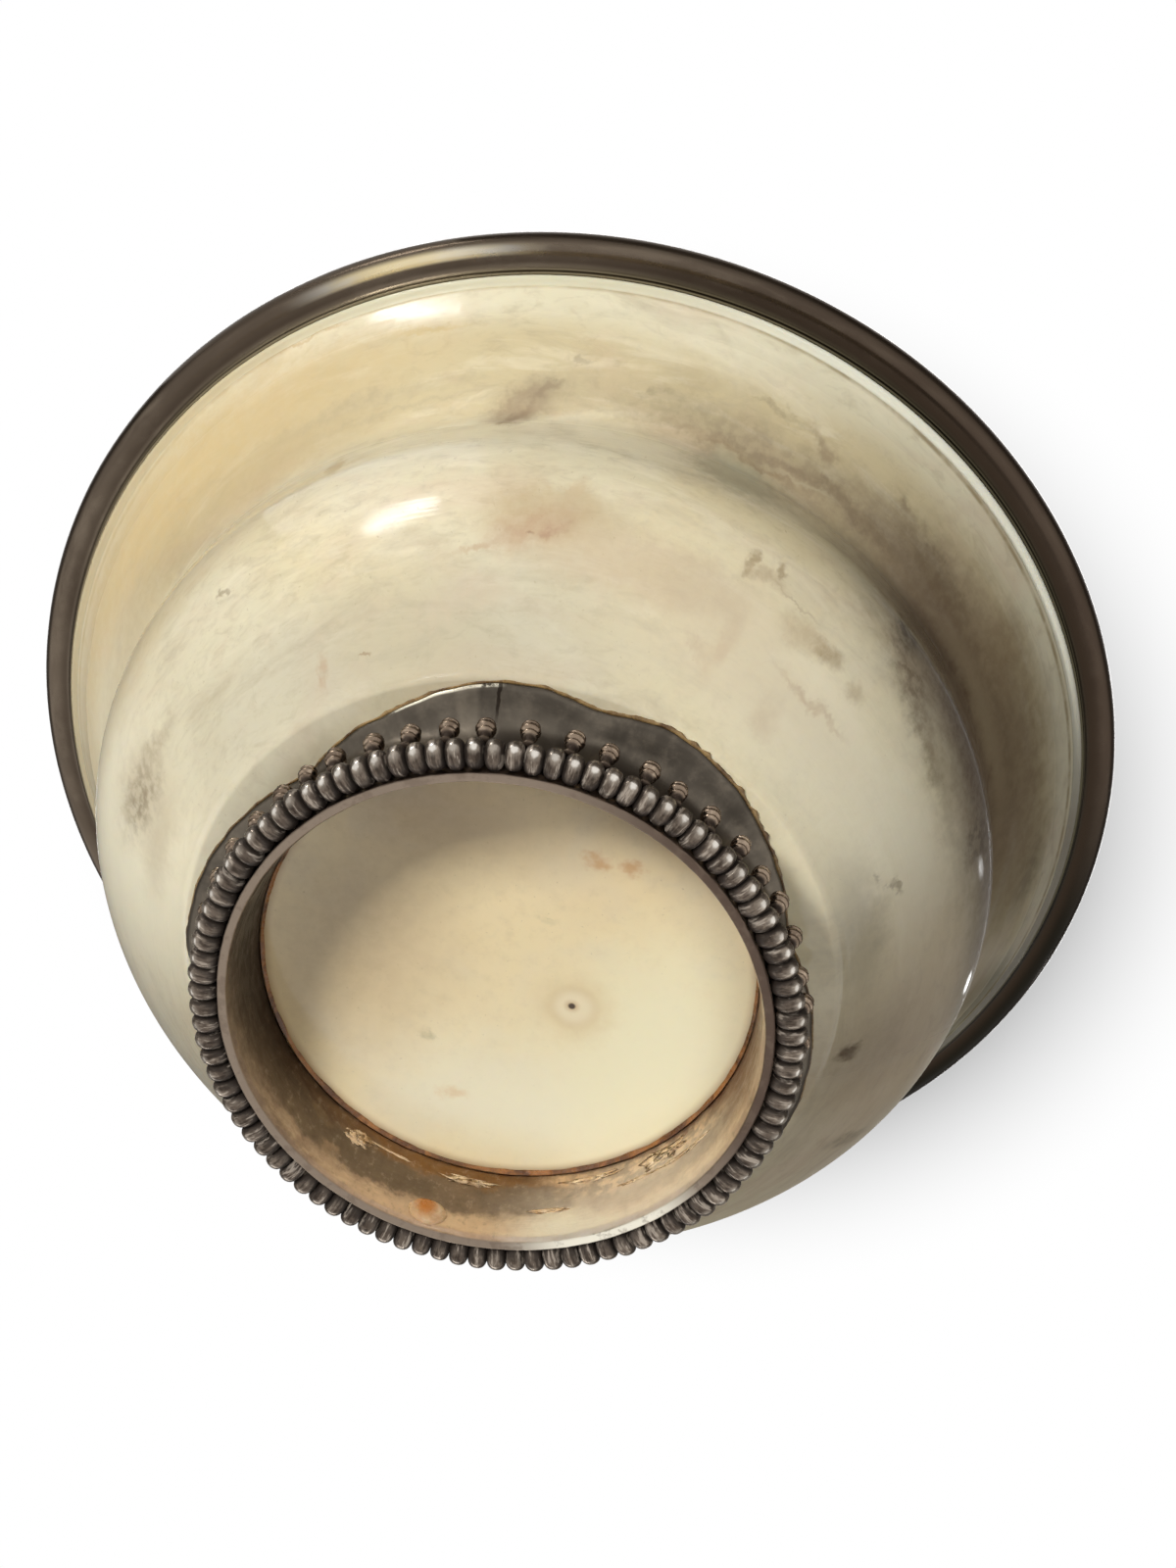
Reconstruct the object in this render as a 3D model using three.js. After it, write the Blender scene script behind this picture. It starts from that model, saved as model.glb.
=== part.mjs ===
import * as THREE from "three";

// A turned bone cup on a silver foot ring, with a silver mount round its mouth.
// Millimetres, +Z up, origin at the centre of the foot's lower edge.

// Gap kept wherever two pieces lie against each other
const seatGap = 0.3;

// Silver foot ring: its lower edge, its wall, and how far the wall leans inwards
const lipInnerRadius = 26.35;
const footWallThickness = 1.0;
const footLean = 1.45;

// Beaded wire round the foot
const beadRadius = 1.4;
const beadCount = 96;
const beadLift = 0.1;
const beadRoundness = 0.88;

// Upright posts of three stacked rings, on the wire's outer shoulder at every second gap
const postHeight = 3.85;
const postRingRadii = [0.78, 1.0, 1.0];
const postNeckRadius = 0.55;
const postTipRadius = 0.35;
const postOffset = 1.15;
const beadsPerPost = 2;

// Foot collar: thin sheet that rises behind the posts and spreads under the cup
const collarThickness = 0.45;
const collarFlare = 4.9;
const collarCover = 2.55;
const collarLobes = 3;
const collarLobeTurn = THREE.MathUtils.degToRad(-86);
const collarShortReach = 0.5;
const collarNotchDepth = 1.4;
const collarNotchWidth = THREE.MathUtils.degToRad(9);

// Where the cement lies behind the collar, as shares of the collar's length
const cementStart = 0.5;
const cementEnd = 0.95;

// Base plate let into the underside, and the glue round it
const plateRadius = 26.6;
const plateThickness = 2.0;
const plateInset = 1.0;
const glueWidth = 0.8;
const glueDrop = 0.9;

// Bone cup
const undersideRise = 0.7;
const floorThickness = 3.0;
const wallThickness = 3.2;
const bellyRadius = 46.06;
const bellyHeight = 32.7;
const waistRadius = 45.1;
const waistHeight = 39.6;
const filletHeight = 1.44;
const filletInset = 1.17;
const filletSwell = 0.45;
const flareSlope = 0.6;
const boneEdgeWidth = 2.8;
const boneEdgeSlope = 0.24;

// Silver rim: a roll outside, and a sheet folded over the edge of the bone
const rimRadius = 57;
const cupHeight = 59.35;
const rimRollRadius = 1.4;
const rimSheet = 0.5;
const crownDrop = 0.35;
const crownRounding = 0.7;
const outerSkirtDepth = 3.1;
const innerSkirtDepth = 4.8;

// How far the handles of the cup's curves reach, as shares of the height that each spans
const bellyStartOut = 0.29;
const bellyStartUp = 0.33;
const bellyEndDown = 0.285;
const neckReach = 0.36;
const waistReach = 0.19;
const flareReach = 0.41;
const insideWaistReach = 0.25;
const insideFlareReach = 0.35;
const insideBellyReach = 0.15;

// Where the inside's flat floor starts to rise, as a share of its radius
const floorFlat = 0.7;

// The collar's bend: its handles as shares of its flare and of its height, from the edge down
const collarBend = { startOut: 0.015, startDown: 0.14, endOut: 0.127, endDown: 0.17 };

// Facets round the axis, and round the thin wires
const turnSteps = 48;
const collarSteps = 72;
const wireSides = 6;
const rollSides = 12;

// Silver finishes: the tarnished fittings and the browner inside of the foot
const silverColor = 0x6e665c;
const rimColor = 0x5a5147;
const footColor = 0x9c8468;
const boneColor = 0xe3d8b8;
const glueColor = 0x6b3a1a;

// Heights and radii that follow from the sizes above

const lipRadius = lipInnerRadius + footWallThickness;
const beadRingRadius = lipRadius + seatGap + beadRadius;
const beadCentreHeight = beadRadius + beadLift;
const beadTop = beadCentreHeight + beadRadius;
const postRadius = beadRingRadius + postOffset;
const postBase = beadCentreHeight + Math.sqrt((beadRadius + seatGap) ** 2 - postOffset ** 2);
const postTop = postBase + postHeight;
const collarEdgeHeight = postTop + collarCover;
const seatHeight = collarEdgeHeight + collarThickness + seatGap;
const undersideHeight = seatHeight - undersideRise;
const plateBottom = undersideHeight + plateInset;
const plateTop = plateBottom + plateThickness;
const footTop = plateBottom - seatGap;
const recessRadius = plateRadius + seatGap;
const recessTop = plateTop + seatGap;

function footInnerRadius(height) {
  return lipInnerRadius - (footLean * height) / footTop;
}

function footOuterRadius(height) {
  return footInnerRadius(height) + footWallThickness;
}

// The collar's foot drops into the corner between the foot wall and the beads
const collarInnerRadius = footOuterRadius(beadTop) + seatGap;
const collarFootRadius = collarInnerRadius + collarThickness;
const collarEdgeRadius = collarFootRadius + collarFlare;
const collarBase =
  beadCentreHeight +
  Math.sqrt((beadRadius + seatGap) ** 2 - (beadRingRadius - collarFootRadius) ** 2);

const rollCentreRadius = rimRadius - rimRollRadius;
const rollCentreHeight = cupHeight - rimRollRadius;
const channelRadius = rollCentreRadius - rimRollRadius - seatGap;
const channelTop = cupHeight - crownDrop;
const skirtBottom = channelTop - outerSkirtDepth;
const boneEdgeRadius = channelRadius - rimSheet - seatGap;
const boneEdgeHeight = channelTop - rimSheet - seatGap;
const boneMouthRadius = boneEdgeRadius - boneEdgeWidth;
const ledgeHeight = skirtBottom - seatGap;
const grooveRadius = channelRadius - filletInset;
const grooveHeight = ledgeHeight - filletHeight;

function point(radius, height) {
  return new THREE.Vector2(radius, height);
}

// Points of a cubic curve, without its first one, so that curves can be chained
function curve(start, startHandle, endHandle, end, steps) {
  return new THREE.CubicBezierCurve(start, startHandle, endHandle, end).getPoints(steps).slice(1);
}

// A solid of revolution about Z from a profile of radius and height
function turned(profile, steps = turnSteps) {
  return new THREE.LatheGeometry(profile, steps).rotateX(Math.PI / 2);
}

// The same for a ring, whose profile closes on itself
function turnedRing(profile) {
  return turned([...profile, profile[0].clone()]);
}

function finish(color, roughness, metalness) {
  return new THREE.MeshStandardMaterial({ color, roughness, metalness });
}

function bone() {
  return finish(boneColor, 0.3, 0);
}

function silver(color = silverColor) {
  return finish(color, 0.42, 0.9);
}

function cement() {
  return finish(glueColor, 0.55, 0);
}

function piece(name, geometry, material) {
  const mesh = new THREE.Mesh(geometry, material);
  mesh.name = name;
  return mesh;
}

// Outside of the cup: from its seat on the collar over the belly and the waist to the flare
function cupOutside() {
  const seat = point(collarEdgeRadius, seatHeight);
  const belly = point(bellyRadius, bellyHeight);
  const waist = point(waistRadius, waistHeight);
  const groove = point(grooveRadius, grooveHeight);
  const lowerSpan = bellyHeight - seatHeight;
  const neckSpan = waistHeight - bellyHeight;
  const flareSpan = grooveHeight - waistHeight;
  const lowerHandle = point(seat.x + bellyStartOut * lowerSpan, seat.y + bellyStartUp * lowerSpan);
  const bellyHandle = point(bellyRadius, bellyHeight - bellyEndDown * lowerSpan);
  const neckLower = point(bellyRadius, bellyHeight + neckReach * neckSpan);
  const neckUpper = point(waistRadius, waistHeight - neckReach * neckSpan);
  const waistHandle = point(waistRadius, waistHeight + waistReach * flareSpan);
  const flareDrop = flareReach * flareSpan;
  const flareHandle = point(grooveRadius - flareSlope * flareDrop, grooveHeight - flareDrop);
  return [
    seat,
    ...curve(seat, lowerHandle, bellyHandle, belly, 7),
    ...curve(belly, neckLower, neckUpper, waist, 3),
    ...curve(waist, waistHandle, flareHandle, groove, 5),
  ];
}

// Rounded fillet between the groove and the ledge that the silver skirt stands on
function cupFillet() {
  const groove = point(grooveRadius, grooveHeight);
  const ledge = point(channelRadius, ledgeHeight);
  const across = ledge.clone().sub(groove);
  const outwards = point(across.y, -across.x).normalize().multiplyScalar(filletSwell);
  const middle = groove.clone().lerp(ledge, 0.5).add(outwards);
  return [middle, ledge];
}

// Inside of the cup, from the mouth down to the middle of the floor
function cupInside() {
  const mouth = point(boneMouthRadius, boneEdgeHeight);
  const mouthDrop = boneEdgeHeight - grooveHeight;
  const shoulder = point(boneMouthRadius - boneEdgeSlope * mouthDrop, grooveHeight);
  const waist = point(waistRadius - wallThickness, waistHeight);
  const belly = point(bellyRadius - wallThickness, bellyHeight);
  const floor = point(0, recessTop + floorThickness);
  const flareSpan = grooveHeight - waistHeight;
  const neckSpan = waistHeight - bellyHeight;
  const flareDrop = insideFlareReach * flareSpan;
  const flareHandle = point(shoulder.x - flareSlope * flareDrop, shoulder.y - flareDrop);
  const waistHandle = point(waist.x, waist.y + insideWaistReach * flareSpan);
  const neckUpper = point(waist.x, waist.y - neckReach * neckSpan);
  const neckLower = point(belly.x, belly.y + neckReach * neckSpan);
  const bellyHandle = point(belly.x, floor.y + insideBellyReach * (belly.y - floor.y));
  const floorHandle = point(floorFlat * belly.x, floor.y);
  return [
    mouth,
    shoulder,
    ...curve(shoulder, flareHandle, waistHandle, waist, 4),
    ...curve(waist, neckUpper, neckLower, belly, 2),
    ...curve(belly, bellyHandle, floorHandle, floor, 6),
  ];
}

function boneBowl() {
  const profile = [
    point(0, recessTop),
    point(recessRadius, recessTop),
    point(recessRadius, undersideHeight),
    ...cupOutside(),
    ...cupFillet(),
    point(boneEdgeRadius, ledgeHeight),
    point(boneEdgeRadius, boneEdgeHeight),
    ...cupInside(),
  ];
  return piece("bone_bowl", turned(profile), bone());
}

function basePlate() {
  const profile = [
    point(0, plateBottom),
    point(plateRadius, plateBottom),
    point(plateRadius, plateTop),
    point(0, plateTop),
  ];
  return piece("base_plate", turned(profile), bone());
}

// Bead of glue in the corner between the base plate and the foot wall
function plateGlue() {
  const top = plateBottom - seatGap;
  const bottom = top - glueDrop;
  const profile = [
    point(footInnerRadius(bottom) - seatGap, bottom),
    point(footInnerRadius(top) - seatGap, top),
    point(footInnerRadius(top) - seatGap - glueWidth, top),
  ];
  return piece("plate_glue", turnedRing(profile), cement());
}

function footRing() {
  const profile = [
    point(lipRadius, 0),
    point(footOuterRadius(beadTop), beadTop),
    point(footOuterRadius(footTop), footTop),
    point(footInnerRadius(footTop), footTop),
    point(lipInnerRadius, 0),
  ];
  return piece("foot_ring", turnedRing(profile), silver(footColor));
}

// Height of the cup's underside, which rises slightly from the base plate to the collar's edge
function undersideAt(radius) {
  const share = (radius - recessRadius) / (collarEdgeRadius - recessRadius);
  return THREE.MathUtils.lerp(undersideHeight, seatHeight, share);
}

// The collar is cut in lobes, each notched in its middle: its reach at an angle round the foot
function collarReach(angle) {
  const lobeAngle = (2 * Math.PI) / collarLobes;
  const turn = angle - collarLobeTurn;
  const fromMiddle = turn - lobeAngle * Math.round(turn / lobeAngle);
  const lobe = Math.cos((Math.PI * fromMiddle) / lobeAngle);
  const notch = collarNotchDepth * Math.exp(-((fromMiddle / collarNotchWidth) ** 2));
  return collarShortReach + (collarFlare - collarShortReach) * lobe - notch;
}

// The collar's lower face in section at an angle, from its foot to its edge under the bone
function collarSection(angle) {
  const reach = collarReach(angle);
  const edgeRadius = collarFootRadius + reach;
  const edgeHeight = undersideAt(edgeRadius) - seatGap - collarThickness;
  const rise = edgeHeight - collarBase;
  const bend = collarBend;
  return new THREE.CubicBezierCurve(
    point(collarFootRadius, collarBase),
    point(collarFootRadius + bend.startOut * reach, edgeHeight - bend.startDown * rise),
    point(collarFootRadius + bend.endOut * reach, edgeHeight - bend.endDown * rise),
    point(edgeRadius, edgeHeight),
  );
}

// A point of that section at a share of its length, raised off its lower face
function collarPoint(section, share, raise) {
  const along = section.getTangent(share);
  return section.getPoint(share).add(point(-along.y, along.x).multiplyScalar(raise));
}

function footCollar() {
  const faceSteps = 5;
  const corners = [];
  for (let i = 0; i <= faceSteps; i += 1) {
    corners.push({ share: i / faceSteps, raise: 0 });
  }
  for (let i = faceSteps; i >= 0; i -= 1) {
    corners.push({ share: i / faceSteps, raise: collarThickness });
  }
  corners.push(corners[0]);
  const blank = collarSection(collarLobeTurn);
  const profile = corners.map((corner) => collarPoint(blank, corner.share, corner.raise));
  const geometry = turned(profile, collarSteps);
  const places = geometry.attributes.position;
  for (let i = 0; i < places.count; i += 1) {
    const corner = corners[i % corners.length];
    const angle = Math.atan2(places.getY(i), places.getX(i));
    const place = collarPoint(collarSection(angle), corner.share, corner.raise);
    places.setXYZ(i, place.x * Math.cos(angle), place.x * Math.sin(angle), place.y);
  }
  geometry.computeVertexNormals();
  return piece("foot_collar", geometry, silver());
}

// Cement in the wedge between foot wall, collar and bone, as wide as the shortest lobes allow
function footCement() {
  const section = collarSection(collarLobeTurn + Math.PI / collarLobes);
  const shares = [cementStart, (cementStart + cementEnd) / 2, cementEnd];
  const raise = collarThickness + seatGap;
  const outer = shares.map((share) => collarPoint(section, share, raise));
  const low = outer[0].y;
  const top = undersideHeight - seatGap;
  const profile = [
    point(footOuterRadius(low) + seatGap, low),
    ...outer,
    point(outer[2].x, top),
    point(footOuterRadius(top) + seatGap, top),
  ];
  return piece("foot_cement", turnedRing(profile), cement());
}

// One wire drawn in between the beads, so that each bead is a flattened barrel
function beadedWire() {
  const ringsPerBead = 3;
  const geometry = new THREE.TorusGeometry(
    beadRingRadius,
    beadRadius,
    wireSides,
    beadCount * ringsPerBead,
  );
  const places = geometry.attributes.position;
  for (let i = 0; i < places.count; i += 1) {
    const angle = Math.atan2(places.getY(i), places.getX(i));
    const turn = (angle / (2 * Math.PI)) * beadCount;
    const fromMiddle = 2 * (turn - Math.floor(turn)) - 1;
    const girth = Math.sqrt(1 - (beadRoundness * fromMiddle) ** 2);
    const outwards = Math.hypot(places.getX(i), places.getY(i)) - beadRingRadius;
    const radius = beadRingRadius + outwards * girth;
    const height = beadCentreHeight + places.getZ(i) * girth;
    places.setXYZ(i, radius * Math.cos(angle), radius * Math.sin(angle), height);
  }
  geometry.computeVertexNormals();
  return piece("beaded_wire", geometry, silver());
}

// A post's rings, each as tall as the next, with a neck below each but the first
function postProfile() {
  const ringHeight = postHeight / postRingRadii.length;
  const profile = [point(0, 0), point(postTipRadius, 0)];
  postRingRadii.forEach((ringRadius, i) => {
    if (i > 0) {
      profile.push(point(postNeckRadius, i * ringHeight));
    }
    profile.push(point(ringRadius, (i + 0.5) * ringHeight));
  });
  profile.push(point(postNeckRadius, postHeight), point(0, postHeight));
  return profile;
}

function post(index) {
  const name = `post_${String(index + 1).padStart(2, "0")}`;
  const mesh = piece(name, turned(postProfile(), wireSides), silver());
  mesh.position.set(postRadius, 0, postBase);
  return mesh;
}

function postRow() {
  const row = new THREE.Group();
  const postCount = beadCount / beadsPerPost;
  for (let i = 0; i < postCount; i += 1) {
    const holder = new THREE.Group();
    holder.rotation.z = (2 * Math.PI * i) / postCount;
    holder.add(post(i));
    row.add(holder);
  }
  return row;
}

// Sheet folded over the bone's edge: a skirt outside, a crown and a skirt inside
function rimChannel() {
  const innerFace = boneMouthRadius - seatGap;
  const innerBottom = channelTop - innerSkirtDepth;
  const foldTop = channelTop - rimSheet;
  const innerLean = boneEdgeSlope * (foldTop - innerBottom);
  const round = crownRounding;
  const corner = round * (1 - Math.SQRT1_2);
  const profile = [
    point(channelRadius, skirtBottom),
    point(channelRadius, channelTop - round),
    point(channelRadius - corner, channelTop - corner),
    point(channelRadius - round, channelTop),
    point(innerFace - rimSheet + round, channelTop),
    point(innerFace - rimSheet + corner, channelTop - corner),
    point(innerFace - rimSheet, channelTop - round),
    point(innerFace - rimSheet - innerLean, innerBottom),
    point(innerFace - innerLean, innerBottom),
    point(innerFace, foldTop),
    point(channelRadius - rimSheet, foldTop),
    point(channelRadius - rimSheet, skirtBottom),
  ];
  return piece("rim_channel", turnedRing(profile), silver(rimColor));
}

function rimRoll() {
  const profile = [];
  for (let i = 0; i < rollSides; i += 1) {
    const angle = (2 * Math.PI * i) / rollSides;
    profile.push(
      point(
        rollCentreRadius + rimRollRadius * Math.cos(angle),
        rollCentreHeight + rimRollRadius * Math.sin(angle),
      ),
    );
  }
  return piece("rim_roll", turnedRing(profile), silver(rimColor));
}

const foot = new THREE.Group();
foot.add(footRing(), beadedWire(), postRow(), footCollar(), footCement());

const body = new THREE.Group();
body.add(boneBowl(), basePlate(), plateGlue());

const rim = new THREE.Group();
rim.add(rimChannel(), rimRoll());

const cup = new THREE.Group();
cup.add(foot, body, rim);

export default cup;
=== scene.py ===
import math

import bmesh
import bpy
from mathutils import Matrix, Quaternion, Vector, geometry, noise


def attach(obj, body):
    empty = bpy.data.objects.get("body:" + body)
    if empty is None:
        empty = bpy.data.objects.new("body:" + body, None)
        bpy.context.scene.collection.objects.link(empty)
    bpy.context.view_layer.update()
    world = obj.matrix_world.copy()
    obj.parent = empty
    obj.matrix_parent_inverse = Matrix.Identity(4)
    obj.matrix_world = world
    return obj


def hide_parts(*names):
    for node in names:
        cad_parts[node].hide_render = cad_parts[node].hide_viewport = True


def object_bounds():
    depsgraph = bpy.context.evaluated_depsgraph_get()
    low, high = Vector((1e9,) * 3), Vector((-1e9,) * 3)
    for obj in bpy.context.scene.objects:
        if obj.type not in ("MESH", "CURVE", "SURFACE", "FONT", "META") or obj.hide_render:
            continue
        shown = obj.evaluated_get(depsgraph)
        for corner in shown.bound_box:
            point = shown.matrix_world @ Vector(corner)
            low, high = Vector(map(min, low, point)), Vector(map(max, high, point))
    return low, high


# A turned bone cup on a beaded silver foot, with a silver mount round its mouth.
# Sizes in the dictionaries are in millimetres, angles in degrees, colours in 8-bit steps;
# those of the stage and the lamps are in metres.
millimetre = 0.001
markRadius = 46.0  # the bowl's marks are laid out at this distance from its axis
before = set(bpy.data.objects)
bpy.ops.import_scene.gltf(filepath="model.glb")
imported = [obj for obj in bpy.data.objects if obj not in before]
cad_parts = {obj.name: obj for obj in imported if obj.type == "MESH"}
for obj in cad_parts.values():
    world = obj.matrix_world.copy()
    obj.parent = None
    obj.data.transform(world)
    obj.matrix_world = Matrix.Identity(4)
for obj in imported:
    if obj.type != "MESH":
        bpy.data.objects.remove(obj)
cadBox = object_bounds()
scene = bpy.context.scene
scene.view_settings.view_transform = "Standard"
print("frame:", len(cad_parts), "CAD nodes")


# Small helpers

# An 8-bit colour as the linear one that a shader takes
def tone(shade):
    return tuple(((part / 255 + 0.055) / 1.055) ** 2.4 for part in shade) + (1.0,)


# Links an output to a socket, or sets the socket to a plain value
def feed(tree, socket, value):
    if isinstance(value, bpy.types.NodeSocket):
        tree.links.new(value, socket)
    elif value is not None:
        socket.default_value = value


def addNode(tree, kind, *values, **settings):
    node = tree.nodes.new(kind)
    for name, value in settings.items():
        setattr(node, name, value)
    for socket, value in zip(node.inputs, values):
        feed(tree, socket, value)
    return node


def sums(tree, operation, *values):
    return addNode(tree, "ShaderNodeMath", *values, operation=operation).outputs[0]


def clampedSum(tree, operation, *values):
    return addNode(tree, "ShaderNodeMath", *values, operation=operation, use_clamp=True).outputs[0]


def times(tree, *factors):
    product = factors[0]
    for factor in factors[1:]:
        product = sums(tree, "MULTIPLY", product, factor)
    return product


def vectorSums(tree, operation, *values):
    return addNode(tree, "ShaderNodeVectorMath", *values, operation=operation).outputs[0]


def stretched(tree, vector, factors):
    return vectorSums(tree, "MULTIPLY", vector, factors)


def lengthOf(tree, vector):
    return addNode(tree, "ShaderNodeVectorMath", vector, operation="LENGTH").outputs["Value"]


def ramp(tree, value, low, high, atLow=0.0, atHigh=1.0):
    node = addNode(tree, "ShaderNodeMapRange", value, low, high, atLow, atHigh,
                   interpolation_type="SMOOTHSTEP")
    return node.outputs[0]


def cloud(tree, vector, scale, detail=2.0, rough=0.5, twist=0.0):
    node = addNode(tree, "ShaderNodeTexNoise")
    feed(tree, node.inputs["Vector"], vector)
    node.inputs["Scale"].default_value = scale
    node.inputs["Detail"].default_value = detail
    node.inputs["Roughness"].default_value = rough
    node.inputs["Distortion"].default_value = twist
    return node


def mixTones(tree, share, first, second):
    node = tree.nodes.new("ShaderNodeMix")
    node.data_type = "RGBA"
    feed(tree, node.inputs[0], share)
    feed(tree, node.inputs[6], first)
    feed(tree, node.inputs[7], second)
    return node.outputs[2]


def mixNumbers(tree, share, first, second):
    node = tree.nodes.new("ShaderNodeMix")
    node.data_type = "FLOAT"
    feed(tree, node.inputs[0], share)
    feed(tree, node.inputs[2], first)
    feed(tree, node.inputs[3], second)
    return node.outputs[0]


# A second tone over the first, as far as the mask and its strength say
def painted(tree, colour, mask, strength, shade):
    return mixTones(tree, times(tree, mask, strength), colour, tone(shade))


# An attribute that the mesh brings along
def carried(tree, name):
    return addNode(tree, "ShaderNodeAttribute", attribute_name=name).outputs["Fac"]


def newMaterial(name):
    material = bpy.data.materials.new(name)
    material.use_nodes = True
    return material, material.node_tree


def bumped(tree, height, depth, strength, under=None):
    node = tree.nodes.new("ShaderNodeBump")
    node.inputs["Distance"].default_value = depth * millimetre
    node.inputs["Strength"].default_value = strength
    feed(tree, node.inputs["Height"], height)
    if under is not None:
        feed(tree, node.inputs["Normal"], under)
    return node.outputs[0]


# Where a point lies on the cup: millimetres, the turn round it from the front, its height and radius
def makeCupPlace():
    tree = bpy.data.node_groups.new("cupPlace", "ShaderNodeTree")
    for name, kind in (("Place", "NodeSocketVector"), ("Wall", "NodeSocketVector"),
                       ("Turn", "NodeSocketFloat"), ("Height", "NodeSocketFloat"),
                       ("Radius", "NodeSocketFloat")):
        tree.interface.new_socket(name, in_out="OUTPUT", socket_type=kind)
    coordinates = tree.nodes.new("ShaderNodeTexCoord")
    place = stretched(tree, coordinates.outputs["Object"], (1000, 1000, 1000))  # metres to millimetres
    parts = addNode(tree, "ShaderNodeSeparateXYZ", place)
    back = times(tree, parts.outputs[1], -1.0)
    turn = sums(tree, "ARCTAN2", parts.outputs[0], back)
    radius = lengthOf(tree, stretched(tree, place, (1, 1, 0)))
    along = times(tree, turn, markRadius)
    wall = addNode(tree, "ShaderNodeCombineXYZ", along, parts.outputs[2], 0.0).outputs[0]
    end = tree.nodes.new("NodeGroupOutput")
    for socket, value in zip(end.inputs, (place, wall, turn, parts.outputs[2], radius)):
        feed(tree, socket, value)
    return tree


cupPlace = makeCupPlace()


def placeOn(tree):
    node = tree.nodes.new("ShaderNodeGroup")
    node.node_tree = cupPlace
    return node.outputs


# One soft-edged mark: an ellipse in warped surface millimetres, broken up by a pattern
def makeMarkMask():
    tree = bpy.data.node_groups.new("markMask", "ShaderNodeTree")
    for name, kind in (("Place", "NodeSocketVector"), ("Centre", "NodeSocketVector"),
                       ("Size", "NodeSocketVector"), ("Lean", "NodeSocketFloat"),
                       ("Soft", "NodeSocketFloat"), ("Broken", "NodeSocketFloat"),
                       ("Pattern", "NodeSocketFloat"), ("Strength", "NodeSocketFloat")):
        tree.interface.new_socket(name, in_out="INPUT", socket_type=kind)
    tree.interface.new_socket("Mask", in_out="OUTPUT", socket_type="NodeSocketFloat")
    start = tree.nodes.new("NodeGroupInput").outputs
    offset = vectorSums(tree, "SUBTRACT", start["Place"], start["Centre"])
    turned = tree.nodes.new("ShaderNodeVectorRotate")
    turned.rotation_type = "Z_AXIS"
    feed(tree, turned.inputs["Vector"], offset)
    feed(tree, turned.inputs["Angle"], times(tree, start["Lean"], -math.pi / 180))
    shares = vectorSums(tree, "DIVIDE", turned.outputs[0], start["Size"])
    length = lengthOf(tree, shares)
    # the edge fades in from just outside the ellipse, the softer the deeper
    outer = sums(tree, "MULTIPLY_ADD", start["Soft"], 0.2, 0.5)
    inner = sums(tree, "MULTIPLY_ADD", start["Soft"], -0.45, 0.49)
    spread = ramp(tree, length, outer, inner)
    pattern = ramp(tree, start["Pattern"], 0.38, 0.62)
    broken = mixNumbers(tree, start["Broken"], 1.0, pattern)
    end = tree.nodes.new("NodeGroupOutput")
    feed(tree, end.inputs[0], times(tree, spread, broken, start["Strength"]))
    return tree


markMask = makeMarkMask()


# A mark: its place, breadth and height, tone and strength. A soft one fades out at its edge,
# a broken one has a pattern's gaps, and a crisp one keeps its outline
def mark(at, size, shade, strength, lean=0, soft=0.7, broken=0.5, crisp=False):
    return {"at": at, "size": (*size, 1), "shade": shade, "strength": strength, "lean": lean,
            "soft": soft, "broken": broken, "crisp": crisp}


markWaver = [dict(scale=0.35, reach=3.2), dict(scale=1.6, reach=1.1)]


# Lays marks over a colour, all but the crisp ones with a wavering outline
def addMarks(tree, colour, place, marks, centreOf):
    pattern = cloud(tree, place, 0.8, 4, 0.6).outputs[0]
    warped = place
    for waver in markWaver:
        colours = cloud(tree, place, waver["scale"], 3, 0.6).outputs[1]
        shift = vectorSums(tree, "SUBTRACT", colours, (0.5, 0.5, 0.5))
        shift = stretched(tree, shift, (waver["reach"], waver["reach"], 0))
        warped = vectorSums(tree, "ADD", warped, shift)
    for each in marks:
        node = tree.nodes.new("ShaderNodeGroup")
        node.node_tree = markMask
        feed(tree, node.inputs["Place"], place if each["crisp"] else warped)
        feed(tree, node.inputs["Centre"], centreOf(each["at"]))
        feed(tree, node.inputs["Pattern"], pattern)
        for name in ("size", "lean", "soft", "broken", "strength"):
            feed(tree, node.inputs[name.capitalize()], each[name])
        colour = mixTones(tree, node.outputs[0], colour, tone(each["shade"]))
    return colour


# Profiles: points of radius and height, chained from curves and softened corners

# The points of a curve after its start
def curved(start, startHandle, endHandle, end, count):
    handles = [Vector(point) for point in (start, startHandle, endHandle, end)]
    points = geometry.interpolate_bezier(handles[0].to_3d(), handles[1].to_3d(),
                                         handles[2].to_3d(), handles[3].to_3d(), count + 1)
    return [point.to_2d() for point in points[1:]]


# Several curves, each run from its end to its start
def runBack(curves):
    points = []
    for curve in curves:
        points += reversed(curved(*curve))
    return points


def softened(points, radius, closed=True, steps=4):
    points = [Vector(point) for point in points]
    made = []
    for number, corner in enumerate(points):
        if not closed and number in (0, len(points) - 1):
            made.append(corner)
            continue
        before = points[number - 1] - corner
        after = points[(number + 1) % len(points)] - corner
        reach = min(radius, before.length * 0.45, after.length * 0.45)
        start = corner + before.normalized() * reach
        end = corner + after.normalized() * reach
        made.append(start + before.normalized() * reach * 0.1)
        for step in range(steps + 1):
            share = step / steps
            first = start.lerp(corner, share)
            second = corner.lerp(end, share)
            made.append(first.lerp(second, share))
        made.append(end + after.normalized() * reach * 0.1)
    return made


def profileMesh(name, points, closed):
    mesh = bpy.data.meshes.new(name)
    rows = [(point[0] * millimetre, 0.0, point[1] * millimetre) for point in points]
    if closed:
        rows.append(rows[0])
    mesh.from_pydata(rows, [(i, i + 1) for i in range(len(rows) - 1)], [])
    return mesh


# Geometry Nodes trees

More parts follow.
